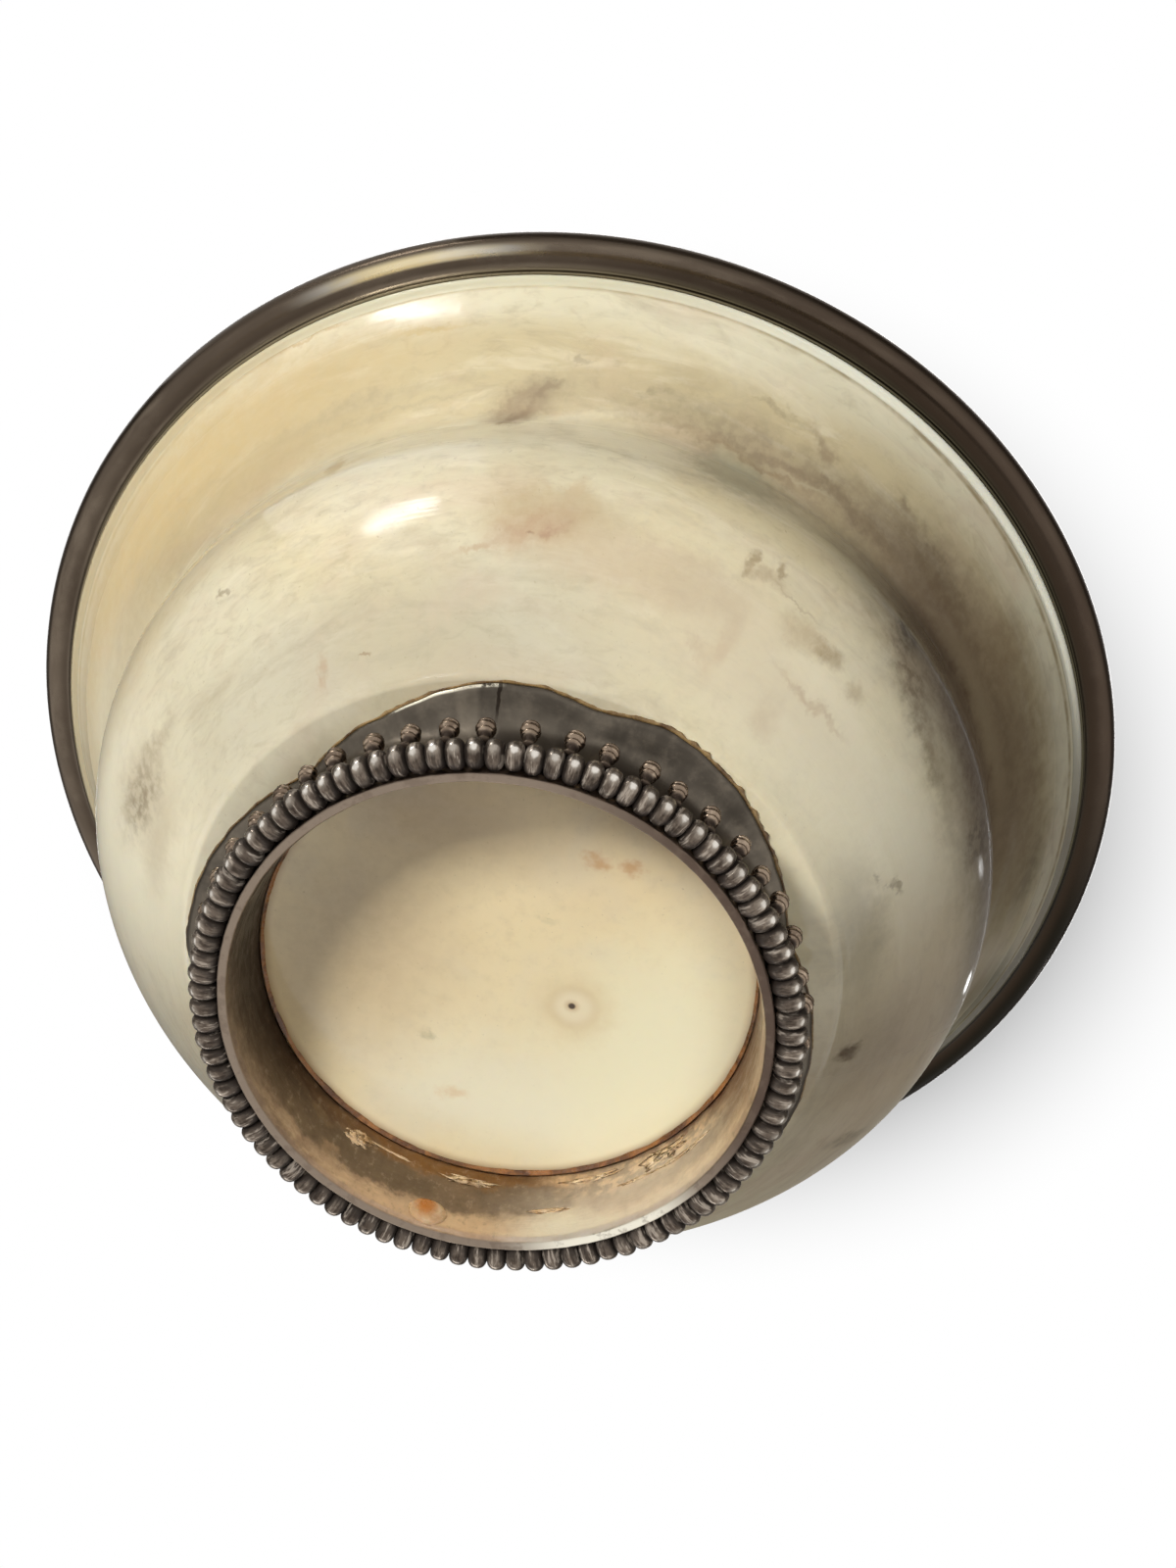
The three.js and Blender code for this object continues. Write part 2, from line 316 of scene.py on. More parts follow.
def newTree(name, inputs):
    tree = bpy.data.node_groups.new(name, "GeometryNodeTree")
    tree.interface.new_socket("Geometry", in_out="INPUT", socket_type="NodeSocketGeometry")
    for label, kind in inputs:
        tree.interface.new_socket(label, in_out="INPUT", socket_type="NodeSocket" + kind)
    tree.interface.new_socket("Geometry", in_out="OUTPUT", socket_type="NodeSocketGeometry")
    return tree, tree.nodes.new("NodeGroupInput").outputs


# Real mesh with its material, as the tree's last step
def closeTree(tree, mesh, material):
    smooth = addNode(tree, "GeometryNodeSetShadeSmooth", mesh)
    real = addNode(tree, "GeometryNodeRealizeInstances", smooth.outputs[0])
    finish = tree.nodes.new("GeometryNodeSetMaterial")
    feed(tree, finish.inputs["Geometry"], real.outputs[0])
    feed(tree, finish.inputs["Material"], material)
    end = tree.nodes.new("NodeGroupOutput")
    feed(tree, end.inputs[0], finish.outputs[0])


def gridOf(tree, columns, rows):
    grid = tree.nodes.new("GeometryNodeMeshGrid")
    feed(tree, grid.inputs["Vertices X"], columns)
    feed(tree, grid.inputs["Vertices Y"], rows)
    index = tree.nodes.new("GeometryNodeInputIndex").outputs[0]
    column = sums(tree, "FLOOR", sums(tree, "DIVIDE", index, rows))
    row = sums(tree, "SUBTRACT", index, times(tree, column, rows))
    return grid.outputs[0], column, row


def movedTo(tree, mesh, place):
    node = tree.nodes.new("GeometryNodeSetPosition")
    feed(tree, node.inputs["Geometry"], mesh)
    feed(tree, node.inputs["Position"], place)
    return node.outputs[0]


def joinedUp(tree, mesh):
    node = tree.nodes.new("GeometryNodeMergeByDistance")
    feed(tree, node.inputs["Geometry"], mesh)
    node.inputs["Distance"].default_value = 1e-6
    return node.outputs[0]


# A number from -1 to 1, drawn for each bead or post
def drawn(tree, index, seed):
    node = tree.nodes.new("FunctionNodeRandomValue")
    node.data_type = "FLOAT"
    node.inputs[2].default_value = -1.0
    node.inputs[3].default_value = 1.0
    feed(tree, node.inputs["ID"], index)
    feed(tree, node.inputs["Seed"], seed)
    return node.outputs[1]


def storedAs(tree, mesh, name, value):
    node = tree.nodes.new("GeometryNodeStoreNamedAttribute")
    node.data_type = "FLOAT"
    feed(tree, node.inputs["Geometry"], mesh)
    node.inputs["Name"].default_value = name
    feed(tree, node.inputs["Value"], value)
    return node.outputs[0]


def wobbled(tree, mesh, depth, scale, seed):
    place = tree.nodes.new("GeometryNodeInputPosition").outputs[0]
    shift = addNode(tree, "ShaderNodeCombineXYZ", seed, seed, seed).outputs[0]
    pattern = cloud(tree, vectorSums(tree, "ADD", place, shift), 1.0, 3)
    feed(tree, pattern.inputs["Scale"], scale)
    height = times(tree, sums(tree, "SUBTRACT", pattern.outputs[0], 0.5), depth)
    normal = tree.nodes.new("GeometryNodeInputNormal").outputs[0]
    push = addNode(tree, "ShaderNodeVectorMath", normal, operation="SCALE")
    feed(tree, push.inputs["Scale"], height)
    node = tree.nodes.new("GeometryNodeSetPosition")
    feed(tree, node.inputs["Geometry"], mesh)
    feed(tree, node.inputs["Offset"], push.outputs[0])
    return node.outputs[0]


# A profile turned about the cup's axis, with a slight hand-made unevenness
def makeTurnedTree():
    tree, start = newTree("turnedPiece", (("Steps", "Int"), ("Unevenness", "Float"),
                                          ("Pattern Scale", "Float"), ("Seed", "Float"),
                                          ("Material", "Material")))
    count = addNode(tree, "GeometryNodeAttributeDomainSize", start["Geometry"]).outputs[0]
    columns = sums(tree, "ADD", start["Steps"], 1)
    grid, column, row = gridOf(tree, columns, count)
    sample = tree.nodes.new("GeometryNodeSampleIndex")
    sample.data_type = "FLOAT_VECTOR"
    feed(tree, sample.inputs["Geometry"], start["Geometry"])
    feed(tree, sample.inputs["Value"], tree.nodes.new("GeometryNodeInputPosition").outputs[0])
    feed(tree, sample.inputs["Index"], row)
    point = addNode(tree, "ShaderNodeSeparateXYZ", sample.outputs[0])
    angle = times(tree, sums(tree, "DIVIDE", column, start["Steps"]), math.tau)
    across = times(tree, point.outputs[0], sums(tree, "COSINE", angle))
    along = times(tree, point.outputs[0], sums(tree, "SINE", angle))
    place = addNode(tree, "ShaderNodeCombineXYZ", across, along, point.outputs[2])
    mesh = joinedUp(tree, movedTo(tree, grid, place.outputs[0]))
    mesh = wobbled(tree, mesh, start["Unevenness"], start["Pattern Scale"], start["Seed"])
    closeTree(tree, mesh, start["Material"])
    return tree


# A wire drawn in between its beads; tarnish with painted shade, wear and the crown where a painted
# highlight goes are stored for its material
def makeBeadTree():
    tree, start = newTree("beadedWire", (("Ring Radius", "Float"), ("Lift", "Float"),
                                         ("Bead Radius", "Float"), ("Breadth", "Float"),
                                         ("Neck", "Float"), ("Fullness", "Float"),
                                         ("Beads", "Int"), ("Rings", "Int"), ("Sides", "Int"),
                                         ("Size Change", "Float"), ("Shift", "Float"),
                                         ("Seed", "Int"), ("Material", "Material")))
    stations = times(tree, start["Beads"], start["Rings"])
    rows = sums(tree, "ADD", start["Sides"], 1)
    grid, column, row = gridOf(tree, sums(tree, "ADD", stations, 1), rows)
    bead = sums(tree, "FLOOR", sums(tree, "DIVIDE", column, start["Rings"]))
    step = sums(tree, "SUBTRACT", column, times(tree, bead, start["Rings"]))
    swing = times(tree, sums(tree, "DIVIDE", step, start["Rings"]), math.pi)
    phase = times(tree, sums(tree, "COSINE", swing), -1.0)
    edge = sums(tree, "POWER", sums(tree, "ABSOLUTE", phase), start["Fullness"])
    shape = sums(tree, "POWER", clampedSum(tree, "SUBTRACT", 1.0, edge),
                 sums(tree, "DIVIDE", 1.0, start["Fullness"]))
    change = drawn(tree, bead, start["Seed"])
    shifting = drawn(tree, bead, sums(tree, "ADD", start["Seed"], 5))
    size = sums(tree, "MULTIPLY_ADD", change, start["Size Change"], 1.0)
    body = times(tree, sums(tree, "SUBTRACT", size, start["Neck"]), shape)
    girth = times(tree, sums(tree, "ADD", body, start["Neck"]), start["Bead Radius"])
    passed = sums(tree, "MULTIPLY_ADD", phase, 0.5, sums(tree, "ADD", bead, 0.5))
    angle = times(tree, sums(tree, "DIVIDE", passed, start["Beads"]), math.tau)
    side = times(tree, sums(tree, "DIVIDE", row, start["Sides"]), math.tau)
    push = times(tree, shifting, start["Shift"], shape)
    reach = times(tree, girth, start["Breadth"])
    radius = sums(tree, "MULTIPLY_ADD", sums(tree, "COSINE", side), reach, start["Ring Radius"])
    radius = sums(tree, "ADD", radius, push)
    height = sums(tree, "MULTIPLY_ADD", sums(tree, "SINE", side), girth, start["Lift"])
    # tarnish lies in the gaps, and the side turned up and in is in painted shade
    facing = clampedSum(tree, "COSINE", sums(tree, "ADD", side, 0.95))
    bareAndLit = times(tree, shape, sums(tree, "MULTIPLY_ADD", facing, 0.5, 0.5))
    # the crown, where a painted highlight goes, most in the middle of a bead
    spread = times(tree, phase, phase, -0.4)
    crown = sums(tree, "ADD", sums(tree, "COSINE", sums(tree, "ADD", side, 0.6)), spread)
    place = addNode(tree, "ShaderNodeCombineXYZ",
                    times(tree, radius, sums(tree, "COSINE", angle)),
                    times(tree, radius, sums(tree, "SINE", angle)), height)
    mesh = storedAs(tree, grid, "gap", sums(tree, "SUBTRACT", 1.0, bareAndLit))
    mesh = storedAs(tree, mesh, "wear", change)
    mesh = storedAs(tree, mesh, "crown", crown)
    mesh = joinedUp(tree, movedTo(tree, mesh, place.outputs[0]))
    closeTree(tree, mesh, start["Material"])
    return tree


# The same small post set round the foot again and again, each a little off true
def makePostTree():
    tree, start = newTree("postRow", (("Count", "Int"), ("Ring Radius", "Float"),
                                      ("Lift", "Float"), ("Neck", "Float"),
                                      ("Cap", "Float"), ("Lean", "Float"),
                                      ("Turn Change", "Float"), ("Lean Change", "Float"),
                                      ("Size Change", "Float"), ("Seed", "Int"),
                                      ("Material", "Material")))
    where = addNode(tree, "ShaderNodeSeparateXYZ",
                    tree.nodes.new("GeometryNodeInputPosition").outputs[0])
    flat = addNode(tree, "ShaderNodeCombineXYZ", where.outputs[0], where.outputs[1], 0.0).outputs[0]
    gap = addNode(tree, "ShaderNodeMapRange", lengthOf(tree, flat), start["Cap"], start["Neck"], 0.0, 1.0)
    single = storedAs(tree, start["Geometry"], "gap", gap.outputs[0])
    circle = tree.nodes.new("GeometryNodeMeshLine")
    feed(tree, circle.inputs["Count"], start["Count"])
    index = tree.nodes.new("GeometryNodeInputIndex").outputs[0]
    chance = [drawn(tree, index, sums(tree, "ADD", start["Seed"], extra)) for extra in (0, 11, 23, 37)]
    share = sums(tree, "DIVIDE", index, start["Count"])
    turn = sums(tree, "MULTIPLY_ADD", share, math.tau, times(tree, chance[0], start["Turn Change"]))
    place = addNode(tree, "ShaderNodeCombineXYZ",
                    times(tree, start["Ring Radius"], sums(tree, "COSINE", turn)),
                    times(tree, start["Ring Radius"], sums(tree, "SINE", turn)),
                    start["Lift"])
    points = movedTo(tree, circle.outputs[0], place.outputs[0])
    lean = addNode(tree, "ShaderNodeCombineXYZ",
                   times(tree, chance[1], start["Lean Change"]),
                   sums(tree, "MULTIPLY_ADD", chance[2], start["Lean Change"], start["Lean"]), turn)
    size = sums(tree, "MULTIPLY_ADD", chance[3], start["Size Change"], 1.0)
    spread = tree.nodes.new("GeometryNodeInstanceOnPoints")
    feed(tree, spread.inputs["Points"], points)
    feed(tree, spread.inputs["Instance"], single)
    feed(tree, spread.inputs["Rotation"], lean.outputs[0])
    feed(tree, spread.inputs["Scale"],
         addNode(tree, "ShaderNodeCombineXYZ", size, size, size).outputs[0])
    closeTree(tree, spread.outputs[0], start["Material"])
    return tree


turnedTree = makeTurnedTree()
beadTree = makeBeadTree()
postTree = makePostTree()


# Runs a tree on a base mesh and returns the plain result
def grown(name, base, tree, values):
    holder = bpy.data.objects.new(name + "Base", base)
    scene.collection.objects.link(holder)
    modifier = holder.modifiers.new(name, "NODES")
    modifier.node_group = tree
    for socket in tree.interface.items_tree:
        if socket.in_out == "INPUT" and socket.name in values:
            modifier[socket.identifier] = values[socket.name]
    graph = bpy.context.evaluated_depsgraph_get()
    mesh = bpy.data.meshes.new_from_object(holder.evaluated_get(graph))
    mesh.name = name
    bpy.data.objects.remove(holder)
    return mesh


# Turns a mesh's faces outwards if it came out inside out
def outwards(mesh):
    shape = bmesh.new()
    shape.from_mesh(mesh)
    if shape.calc_volume(signed=True) < 0:
        bmesh.ops.reverse_faces(shape, faces=shape.faces)
        shape.to_mesh(mesh)
    shape.free()


def addPiece(name, mesh, slotName, *nodes):
    outwards(mesh)
    piece = bpy.data.objects.new(name, mesh)
    scene.collection.objects.link(piece)
    if nodes:
        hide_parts(*nodes)
    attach(piece, "root")


def turnedMesh(name, points, material, steps, unevenness=0.0, patternScale=60, seed=0, closed=True):
    base = profileMesh(name + "Profile", points, closed)
    values = {"Steps": steps, "Unevenness": unevenness * millimetre, "Seed": float(seed),
              "Pattern Scale": float(patternScale), "Material": material}
    return grown(name, base, turnedTree, values)


# For meshes built point by point: a place on the cup, noise that runs round it,
# a band between neighbouring rings of points, and the finished mesh
def onCup(radius, angle, height):
    return Vector((radius * math.cos(angle), radius * math.sin(angle), height)) * millimetre


def ringNoise(angle, scale, level):
    return noise.noise(Vector((math.cos(angle) * scale, math.sin(angle) * scale, level)))


def addBand(shape, rings):
    for number, ring in enumerate(rings):
        after = rings[(number + 1) % len(rings)]
        for i in range(len(ring)):
            j = (i + 1) % len(ring)
            shape.faces.new((ring[i], after[i], after[j], ring[j])).smooth = True


def meshOf(shape, name, material):
    mesh = bpy.data.meshes.new(name)
    shape.to_mesh(mesh)
    shape.free()
    mesh.materials.append(material)
    return mesh


# Bone: polished, yellowed in places, stained by use

boneLook = {
    "ivory": (222, 213, 183),
    "honey": (219, 204, 164),
    "flare": (204, 188, 148),
    "mouth": (228, 220, 190),
    "smears": [
        dict(pull=(0.35, 0.35, 1.1), scale=0.3, tone=(178, 163, 134), strength=0.42),
        dict(pull=(0.4, 0.4, 0.8), scale=0.16, tone=(208, 180, 152), strength=0.34),
        dict(pull=(0.3, 0.3, 1.4), scale=0.24, tone=(242, 232, 204), strength=0.4),
        dict(pull=(0.5, 0.5, 1.0), scale=0.75, tone=(168, 150, 118), strength=0.26),
    ],
    "plateIvory": (250, 230, 184),
    "plateHoney": (244, 220, 168),
    "plateRim": (150, 108, 62),
    "cool": (222, 212, 190),
    "pore": (160, 134, 98),
    "warmFillet": (194, 177, 138),
    "fillet": (206, 200, 172),
    "litFillet": (230, 228, 210),
    "shadedFillet": (92, 82, 64),
    "underSilver": (112, 97, 66),
    "warmGroove": (180, 150, 98),
    "groove": (138, 116, 74),
    "patchScale": 0.03,
    "cloudScale": 0.09,
    "poreScale": 2.6,
    "smooth": 0.085,
    "dull": 0.19,
    "handled": 0.5,  # roughness where hands have dulled it
    "sheen": 0.5,
    "handledSheen": 0.1,
}


# Ground tones, clouds, grain and pores; the pores come back for the relief
def boneGround(tree, place, ivory, honey):
    patches = cloud(tree, place, boneLook["patchScale"], 1, 0.4, 0.4).outputs[0]
    colour = mixTones(tree, ramp(tree, patches, 0.3, 0.7), tone(ivory), tone(honey))
    clouds = cloud(tree, place, boneLook["cloudScale"], 3, 0.5, 0.4).outputs[0]
    colour = painted(tree, colour, ramp(tree, clouds, 0.45, 0.75), 0.4, boneLook["cool"])
    grain = cloud(tree, stretched(tree, place, (0.5, 0.5, 1.6)), 1.1, 4, 0.65).outputs[0]
    colour = painted(tree, colour, ramp(tree, grain, 0.45, 0.75), 0.12, boneLook["pore"])
    specks = cloud(tree, stretched(tree, place, (1.0, 1.0, 0.6)), boneLook["poreScale"], 2, 0.5).outputs[0]
    pores = times(tree, ramp(tree, specks, 0.68, 0.78), 0.35)
    return mixTones(tree, pores, colour, tone(boneLook["pore"])), pores


# Fine turning lines and pores in relief, and a polish worn unevenly
def finishBone(tree, colour, pores, place, rubbed=None):
    shader = tree.nodes["Principled BSDF"]
    turning = cloud(tree, stretched(tree, place, (0.02, 0.02, 3.2)), 1.0, 2, 0.5).outputs[0]
    dips = sums(tree, "SUBTRACT", times(tree, turning, 0.5), times(tree, pores, 1.4))
    normal = bumped(tree, dips, 0.05, 0.35)
    worn = cloud(tree, place, 0.16, 3, 0.6).outputs[0]
    gloss = mixNumbers(tree, ramp(tree, worn, 0.35, 0.7), boneLook["smooth"], boneLook["dull"])
    feed(tree, shader.inputs["Base Color"], colour)
    if rubbed is not None:
        gloss = mixNumbers(tree, rubbed, gloss, boneLook["handled"])
        sheen = mixNumbers(tree, rubbed, boneLook["sheen"], boneLook["handledSheen"])
        feed(tree, shader.inputs["Specular IOR Level"], sheen)
    feed(tree, shader.inputs["Roughness"], gloss)
    feed(tree, shader.inputs["Normal"], normal)
    shader.inputs["IOR"].default_value = 1.5
    shader.inputs["Subsurface Weight"].default_value = 0.12
    shader.inputs["Subsurface Radius"].default_value = (1.0, 0.7, 0.4)
    shader.inputs["Subsurface Scale"].default_value = 0.0015


# Broad and soft: painted light and painted shade from side to side, brighter at the far left and low on the
# right, darkest on the right of the waist, mixed with the bone's own broad changes of tone
bowlPaintedLightAndShade = [
    mark((-122, 13), (84, 16), (166, 158, 136), 0.55, soft=1, broken=0),
    mark((-190, 26), (40, 66), (255, 246, 216), 0.95, soft=1, broken=0),
    mark((-43, 17), (70, 21), (255, 246, 214), 0.8, soft=1, broken=0.1),
    mark((-28, 19.5), (20, 8), (255, 246, 216), 0.9, soft=1, broken=0.1),
    mark((10, 20), (60, 24), (226, 196, 172), 0.4, soft=1, broken=0.1),
    mark((-94, 36.8), (52, 6), (244, 232, 198), 0.5, soft=1, broken=0.1),
    mark((-22, 12.5), (22, 6), (112, 98, 78), 0.4, soft=1, broken=0.1),
    mark((-180, 15), (18, 5), (192, 174, 142), 0.5, soft=1, broken=0.1),
    mark((-150, 32), (30, 8), (208, 188, 148), 0.4, soft=1, broken=0.2),
    mark((-138, 42.5), (26, 6), (176, 155, 116), 0.45, soft=1, broken=0.2),
    mark((-76, 25.5), (40, 9), (250, 240, 208), 0.35, soft=1, broken=0.2),
    # painted shade on the right of the waist, with some dirt in it
    mark((-25, 36.4), (61, 24), (90, 65, 42), 0.92, soft=0.6, broken=0.1),
    mark((-57, 42.6), (24, 8), (96, 78, 60), 0.35, soft=1, broken=0.1),
    mark((-165, 44), (60, 8), (182, 160, 120), 0.45, soft=1, broken=0.2),
    mark((-84, 51), (30, 6), (244, 236, 208), 0.4, soft=1, broken=0.1),
    mark((16, 50), (12, 12), (62, 52, 40), 0.5, soft=1, broken=0),
    mark((-47, 42.5), (22, 13), (86, 68, 52), 0.7, lean=-10, soft=1, broken=0.2),
    mark((-68, 41), (36, 11), (146, 128, 102), 0.55, soft=1, broken=0.3),
    mark((-16, 46.6), (52, 11), (120, 101, 76), 0.74, soft=1, broken=0.15),
    mark((3, 14), (20, 16), (170, 152, 124), 0.55, soft=1, broken=0.15),
    mark((-172, 31), (34, 9), (204, 180, 130), 0.5, soft=1, broken=0.1),
    mark((-150, 49), (50, 10), (214, 184, 128), 0.6, soft=1, broken=0.35),
    mark((-168, 51.5), (64, 9), (216, 191, 140), 0.75, soft=1, broken=0.2),
    mark((-137, 48), (30, 12), (198, 178, 136), 0.5, soft=1, broken=0.2),
    mark((-86, 21), (34, 7), (200, 178, 146), 0.6, soft=0.6, broken=0.15),
    mark((-64, 17), (40, 9), (206, 186, 156), 0.4, soft=1, broken=0.2),
]

bowlMarks = [
    # leaf-shaped streak in the neck, with a grey bloom beside it
    mark((-107.2, 41.4), (8.8, 4.8), (154, 133, 108), 0.72, lean=36, soft=0.6, broken=0.15),
    mark((-108.4, 40), (4.4, 1.4), (130, 108, 84), 0.5, lean=40, soft=0.8, broken=0.2),
    mark((-104.4, 43.4), (4.6, 1.2), (138, 120, 96), 0.6, lean=42, soft=0.6, broken=0.2),
    mark((-103.5, 43.6), (8, 4.4), (168, 153, 126), 0.5, lean=20, soft=1, broken=0.5),
    mark((-91, 44.8), (4.4, 1), (156, 141, 115), 0.5, lean=12, soft=0.7),
    mark((-78, 43.4), (40, 5), (146, 132, 108), 0.5, soft=1, broken=0.35),
    mark((-84, 41.9), (22, 1.2), (142, 122, 94), 0.35, soft=1, broken=0.3),
    mark((-101, 37), (3, 7), (176, 164, 138), 0.4, lean=6, soft=1),
    mark((-100.5, 46.6), (2.6, 0.9), (160, 145, 118), 0.45, lean=20, soft=0.6),
    mark((-130.6, 35.8), (1.9, 4.8), (166, 142, 106), 0.7, lean=18, soft=0.8, broken=0.1),
    mark((-128, 44.8), (26, 1.8), (176, 161, 131), 0.5, soft=1, broken=0.5),
    mark((-124, 42.9), (20, 0.8), (178, 163, 133), 0.4, soft=1, broken=0.3),
    # round smudge with a darker edge
    mark((-79, 37.4), (12.5, 12), (118, 106, 84), 0.5, soft=0.7, broken=0.45),
    mark((-78.6, 37.4), (8.6, 8.6), (178, 170, 140), 0.8, soft=0.6, broken=0.1),
    mark((-78, 41.5), (12, 0.8), (134, 110, 80), 0.42, soft=1, broken=0.15),
    mark((-71, 43.1), (16, 1.1), (126, 108, 86), 0.4, lean=6, soft=1, broken=0.15),
    mark((-70, 42.2), (12, 0.7), (206, 194, 162), 0.3, lean=4, soft=1, broken=0.1),
    mark((-60, 42.8), (14, 2), (110, 92, 72), 0.5, lean=-3, soft=1, broken=0.2),
    mark((-70, 46.5), (5, 1.7), (146, 126, 100), 0.65, lean=-32, soft=0.8, broken=0.25),
    mark((-76.5, 47.6), (7, 0.9), (150, 135, 110), 0.5, soft=0.8, broken=0.6),
    mark((-57.5, 46.8), (1.8, 1.1), (140, 124, 98), 0.5, soft=0.7, broken=0.2),
    mark((-50, 44.6), (22, 4.4), (104, 86, 66), 0.42, lean=-8, soft=1, broken=0.15),
    # ochre lines under the silver on the left
    mark((-119, 51), (9, 0.9), (200, 174, 118), 0.5, lean=-3, soft=1, broken=0.2),
    mark((-134, 54.15), (9, 0.6), (188, 154, 100), 0.5, soft=1, broken=0.1),
    mark((-147.2, 25), (1.8, 0.8), (146, 126, 96), 0.6, soft=0.7, broken=0.1),
    # rubbed patch of short strokes low on the left
    mark((-177, 19.5), (17, 7.5), (176, 156, 124), 0.5, lean=-6, soft=1, broken=0.3),
    mark((-177.5, 18.8), (12, 4.6), (126, 107, 84), 0.6, lean=-8, soft=1, broken=0.6),
    mark((-168.5, 19.6), (10, 2.2), (160, 140, 110), 0.4, lean=-6, soft=1, broken=0.5),
    # pinkish-brown patch above the collar
    mark((-101, 24), (17, 6.5), (194, 172, 134), 0.7, lean=4, soft=0.6, broken=0.15),
    mark((-97.5, 26.5), (3.4, 2.4), (204, 182, 146), 0.5, lean=60, soft=0.6, broken=0.1),
    mark((-102.6, 22.4), (11, 4), (186, 154, 124), 0.65, lean=16, soft=0.8, broken=0.3),
    mark((-99.5, 22.4), (4.2, 1.2), (172, 138, 110), 0.55, lean=24, soft=0.7, broken=0.5),
    mark((-109.5, 20.4), (5, 1), (180, 146, 112), 0.5, lean=12, soft=0.9, broken=0.3),
    mark((-103, 21.8), (1.2, 0.7), (140, 108, 80), 0.6, soft=0.7, broken=0.3),
    mark((-112, 16), (14, 4), (204, 186, 160), 0.45, lean=16, soft=1, broken=0.6),
    mark((-134.8, 12.8), (3.4, 2), (176, 142, 112), 0.5, lean=60, soft=0.8, broken=0.6),
    mark((-127.5, 13.2), (1.6, 0.5), (140, 110, 75), 0.5, soft=0.5, broken=0),
    # crossed strokes and the smear between them
    mark((-73.8, 25.7), (1.2, 3), (156, 130, 94), 0.65, lean=-8, soft=0.8, broken=0.2),
    mark((-69.6, 26.4), (1.3, 2), (156, 130, 94), 0.65, lean=-8, soft=0.8, broken=0.2),
    mark((-71.5, 24.8), (6, 1.8), (180, 156, 120), 0.55, lean=4, soft=0.9, broken=0.3),
    mark((-66, 24.6), (7, 0.5), (176, 152, 116), 0.4, lean=-3, soft=0.9, broken=0.2),
    mark((-58.8, 22.8), (4.4, 2.6), (160, 132, 92), 0.65, lean=8, soft=0.8, broken=0.35),
    mark((-63.5, 22.5), (8, 3), (190, 166, 128), 0.55, lean=2, soft=0.8, broken=0.3),
    mark((-52.8, 21.8), (3, 2.8), (172, 146, 108), 0.5, soft=0.9, broken=0.3),
    mark((-55, 20), (14, 2.2), (244, 232, 200), 0.6, soft=0.9, broken=0.1),
    mark((-68.5, 21.6), (5, 5), (240, 226, 190), 0.4, soft=1, broken=0.1),
    mark((-57, 18.3), (13, 1), (196, 168, 132), 0.5, soft=0.9, broken=0.25),
    mark((-72.5, 17), (3, 7), (202, 174, 140), 0.4, lean=-10, soft=1, broken=0.3),
    mark((-76, 16.4), (4, 1.4), (190, 162, 130), 0.35, lean=-20, soft=1, broken=0.3),
    mark((-61.5, 14.6), (5, 3.4), (202, 178, 146), 0.4, lean=-20, soft=1, broken=0.3),
    mark((-25.5, 16.6), (2.6, 0.9), (134, 114, 84), 0.55, lean=15, soft=0.8, broken=0.3),
    mark((-29, 15.3), (2.2, 0.8), (150, 130, 100), 0.45, lean=10, soft=0.8, broken=0.3),
    mark((1.6, 12.3), (2.8, 2.6), (86, 62, 32), 0.85, soft=0.8, broken=0.1),
    # dirt at the edge of the dark side
    mark((-50.4, 32.2), (4.6, 6), (56, 42, 30), 0.7, soft=1, broken=0.35),
    mark((-46.5, 28), (11, 5), (88, 66, 44), 0.6, lean=-22, soft=1, broken=0.5),
    mark((-38, 25.4), (12, 2.4), (110, 88, 60), 0.5, lean=-8, soft=1, broken=0.4),
    mark((-22, 28.5), (5, 6), (86, 69, 50), 0.65, soft=0.9, broken=0.6),
    mark((24, 21.5), (3, 7), (110, 92, 68), 0.5, soft=0.8),
    mark((-35, 48), (9, 7), (116, 92, 64), 0.4, soft=1, broken=0.2),
    mark((-29, 42), (28, 3.2), (158, 142, 112), 0.65, soft=1, broken=0.25),
    mark((-3, 49), (10, 4.6), (78, 70, 54), 0.45, soft=1, broken=0.3),
    mark((-2, 48.6), (4.6, 1.8), (142, 130, 106), 0.45, soft=1, broken=0.2),
]


# A ramp between two turns, in radians from the front, that falls back before the turn jumps
# at the back of the cup
def rising(tree, turn, start, end):
    return times(tree, ramp(tree, turn, start, end), ramp(tree, turn, 3.1, 2.4))


# Long faint smears that run round the cup, each with its own part of the pattern
def smeared(tree, colour, place):
    for number, smear in enumerate(boneLook["smears"]):
        shift = (number * 31.7, number * 12.3, 0)
        shifted = vectorSums(tree, "ADD", stretched(tree, place, smear["pull"]), shift)
        pattern = cloud(tree, shifted, smear["scale"], 5, 0.62, 0.7).outputs[0]
        colour = painted(tree, colour, ramp(tree, pattern, 0.48, 0.72), smear["strength"], smear["tone"])
    return colour


# A mark's azimuth and height as millimetres along and up the bowl's wall
def onWall(at):
    return math.radians(at[0] + 90) * markRadius, at[1], 0


def onPlate(at):
    return at[0], at[1], 0


# Where on the bowl its finish changes: heights and radii in millimetres, turns in radians
bowlZones = {
    "flare": (36, 43), "mouth": (48.5, 53), "outside": (51.2, 51.6), "fillet": (54.3, 54.65),
    "warmTurn": (-1.1, -0.5), "litTurn": (-0.2, 0.4), "shadedTurn": (0.95, 1.5),
    "underSilver": (55.08, 55.28), "grooveLevel": 54.22, "grooveWidth": (0.36, 0.02),
    "neckFrom": (38, 40.5), "neckTo": (52.3, 50.6),
    "shoulderTurn": 1.22, "shoulderFall": 4.3, "shoulder": (31.2, 32.2), "shoulderFrom": (0.7, 1.0),
    "sideFrom": (1.62, 1.75), "sideTo": (3.1, 2.6), "sideTop": (42, 39),
}
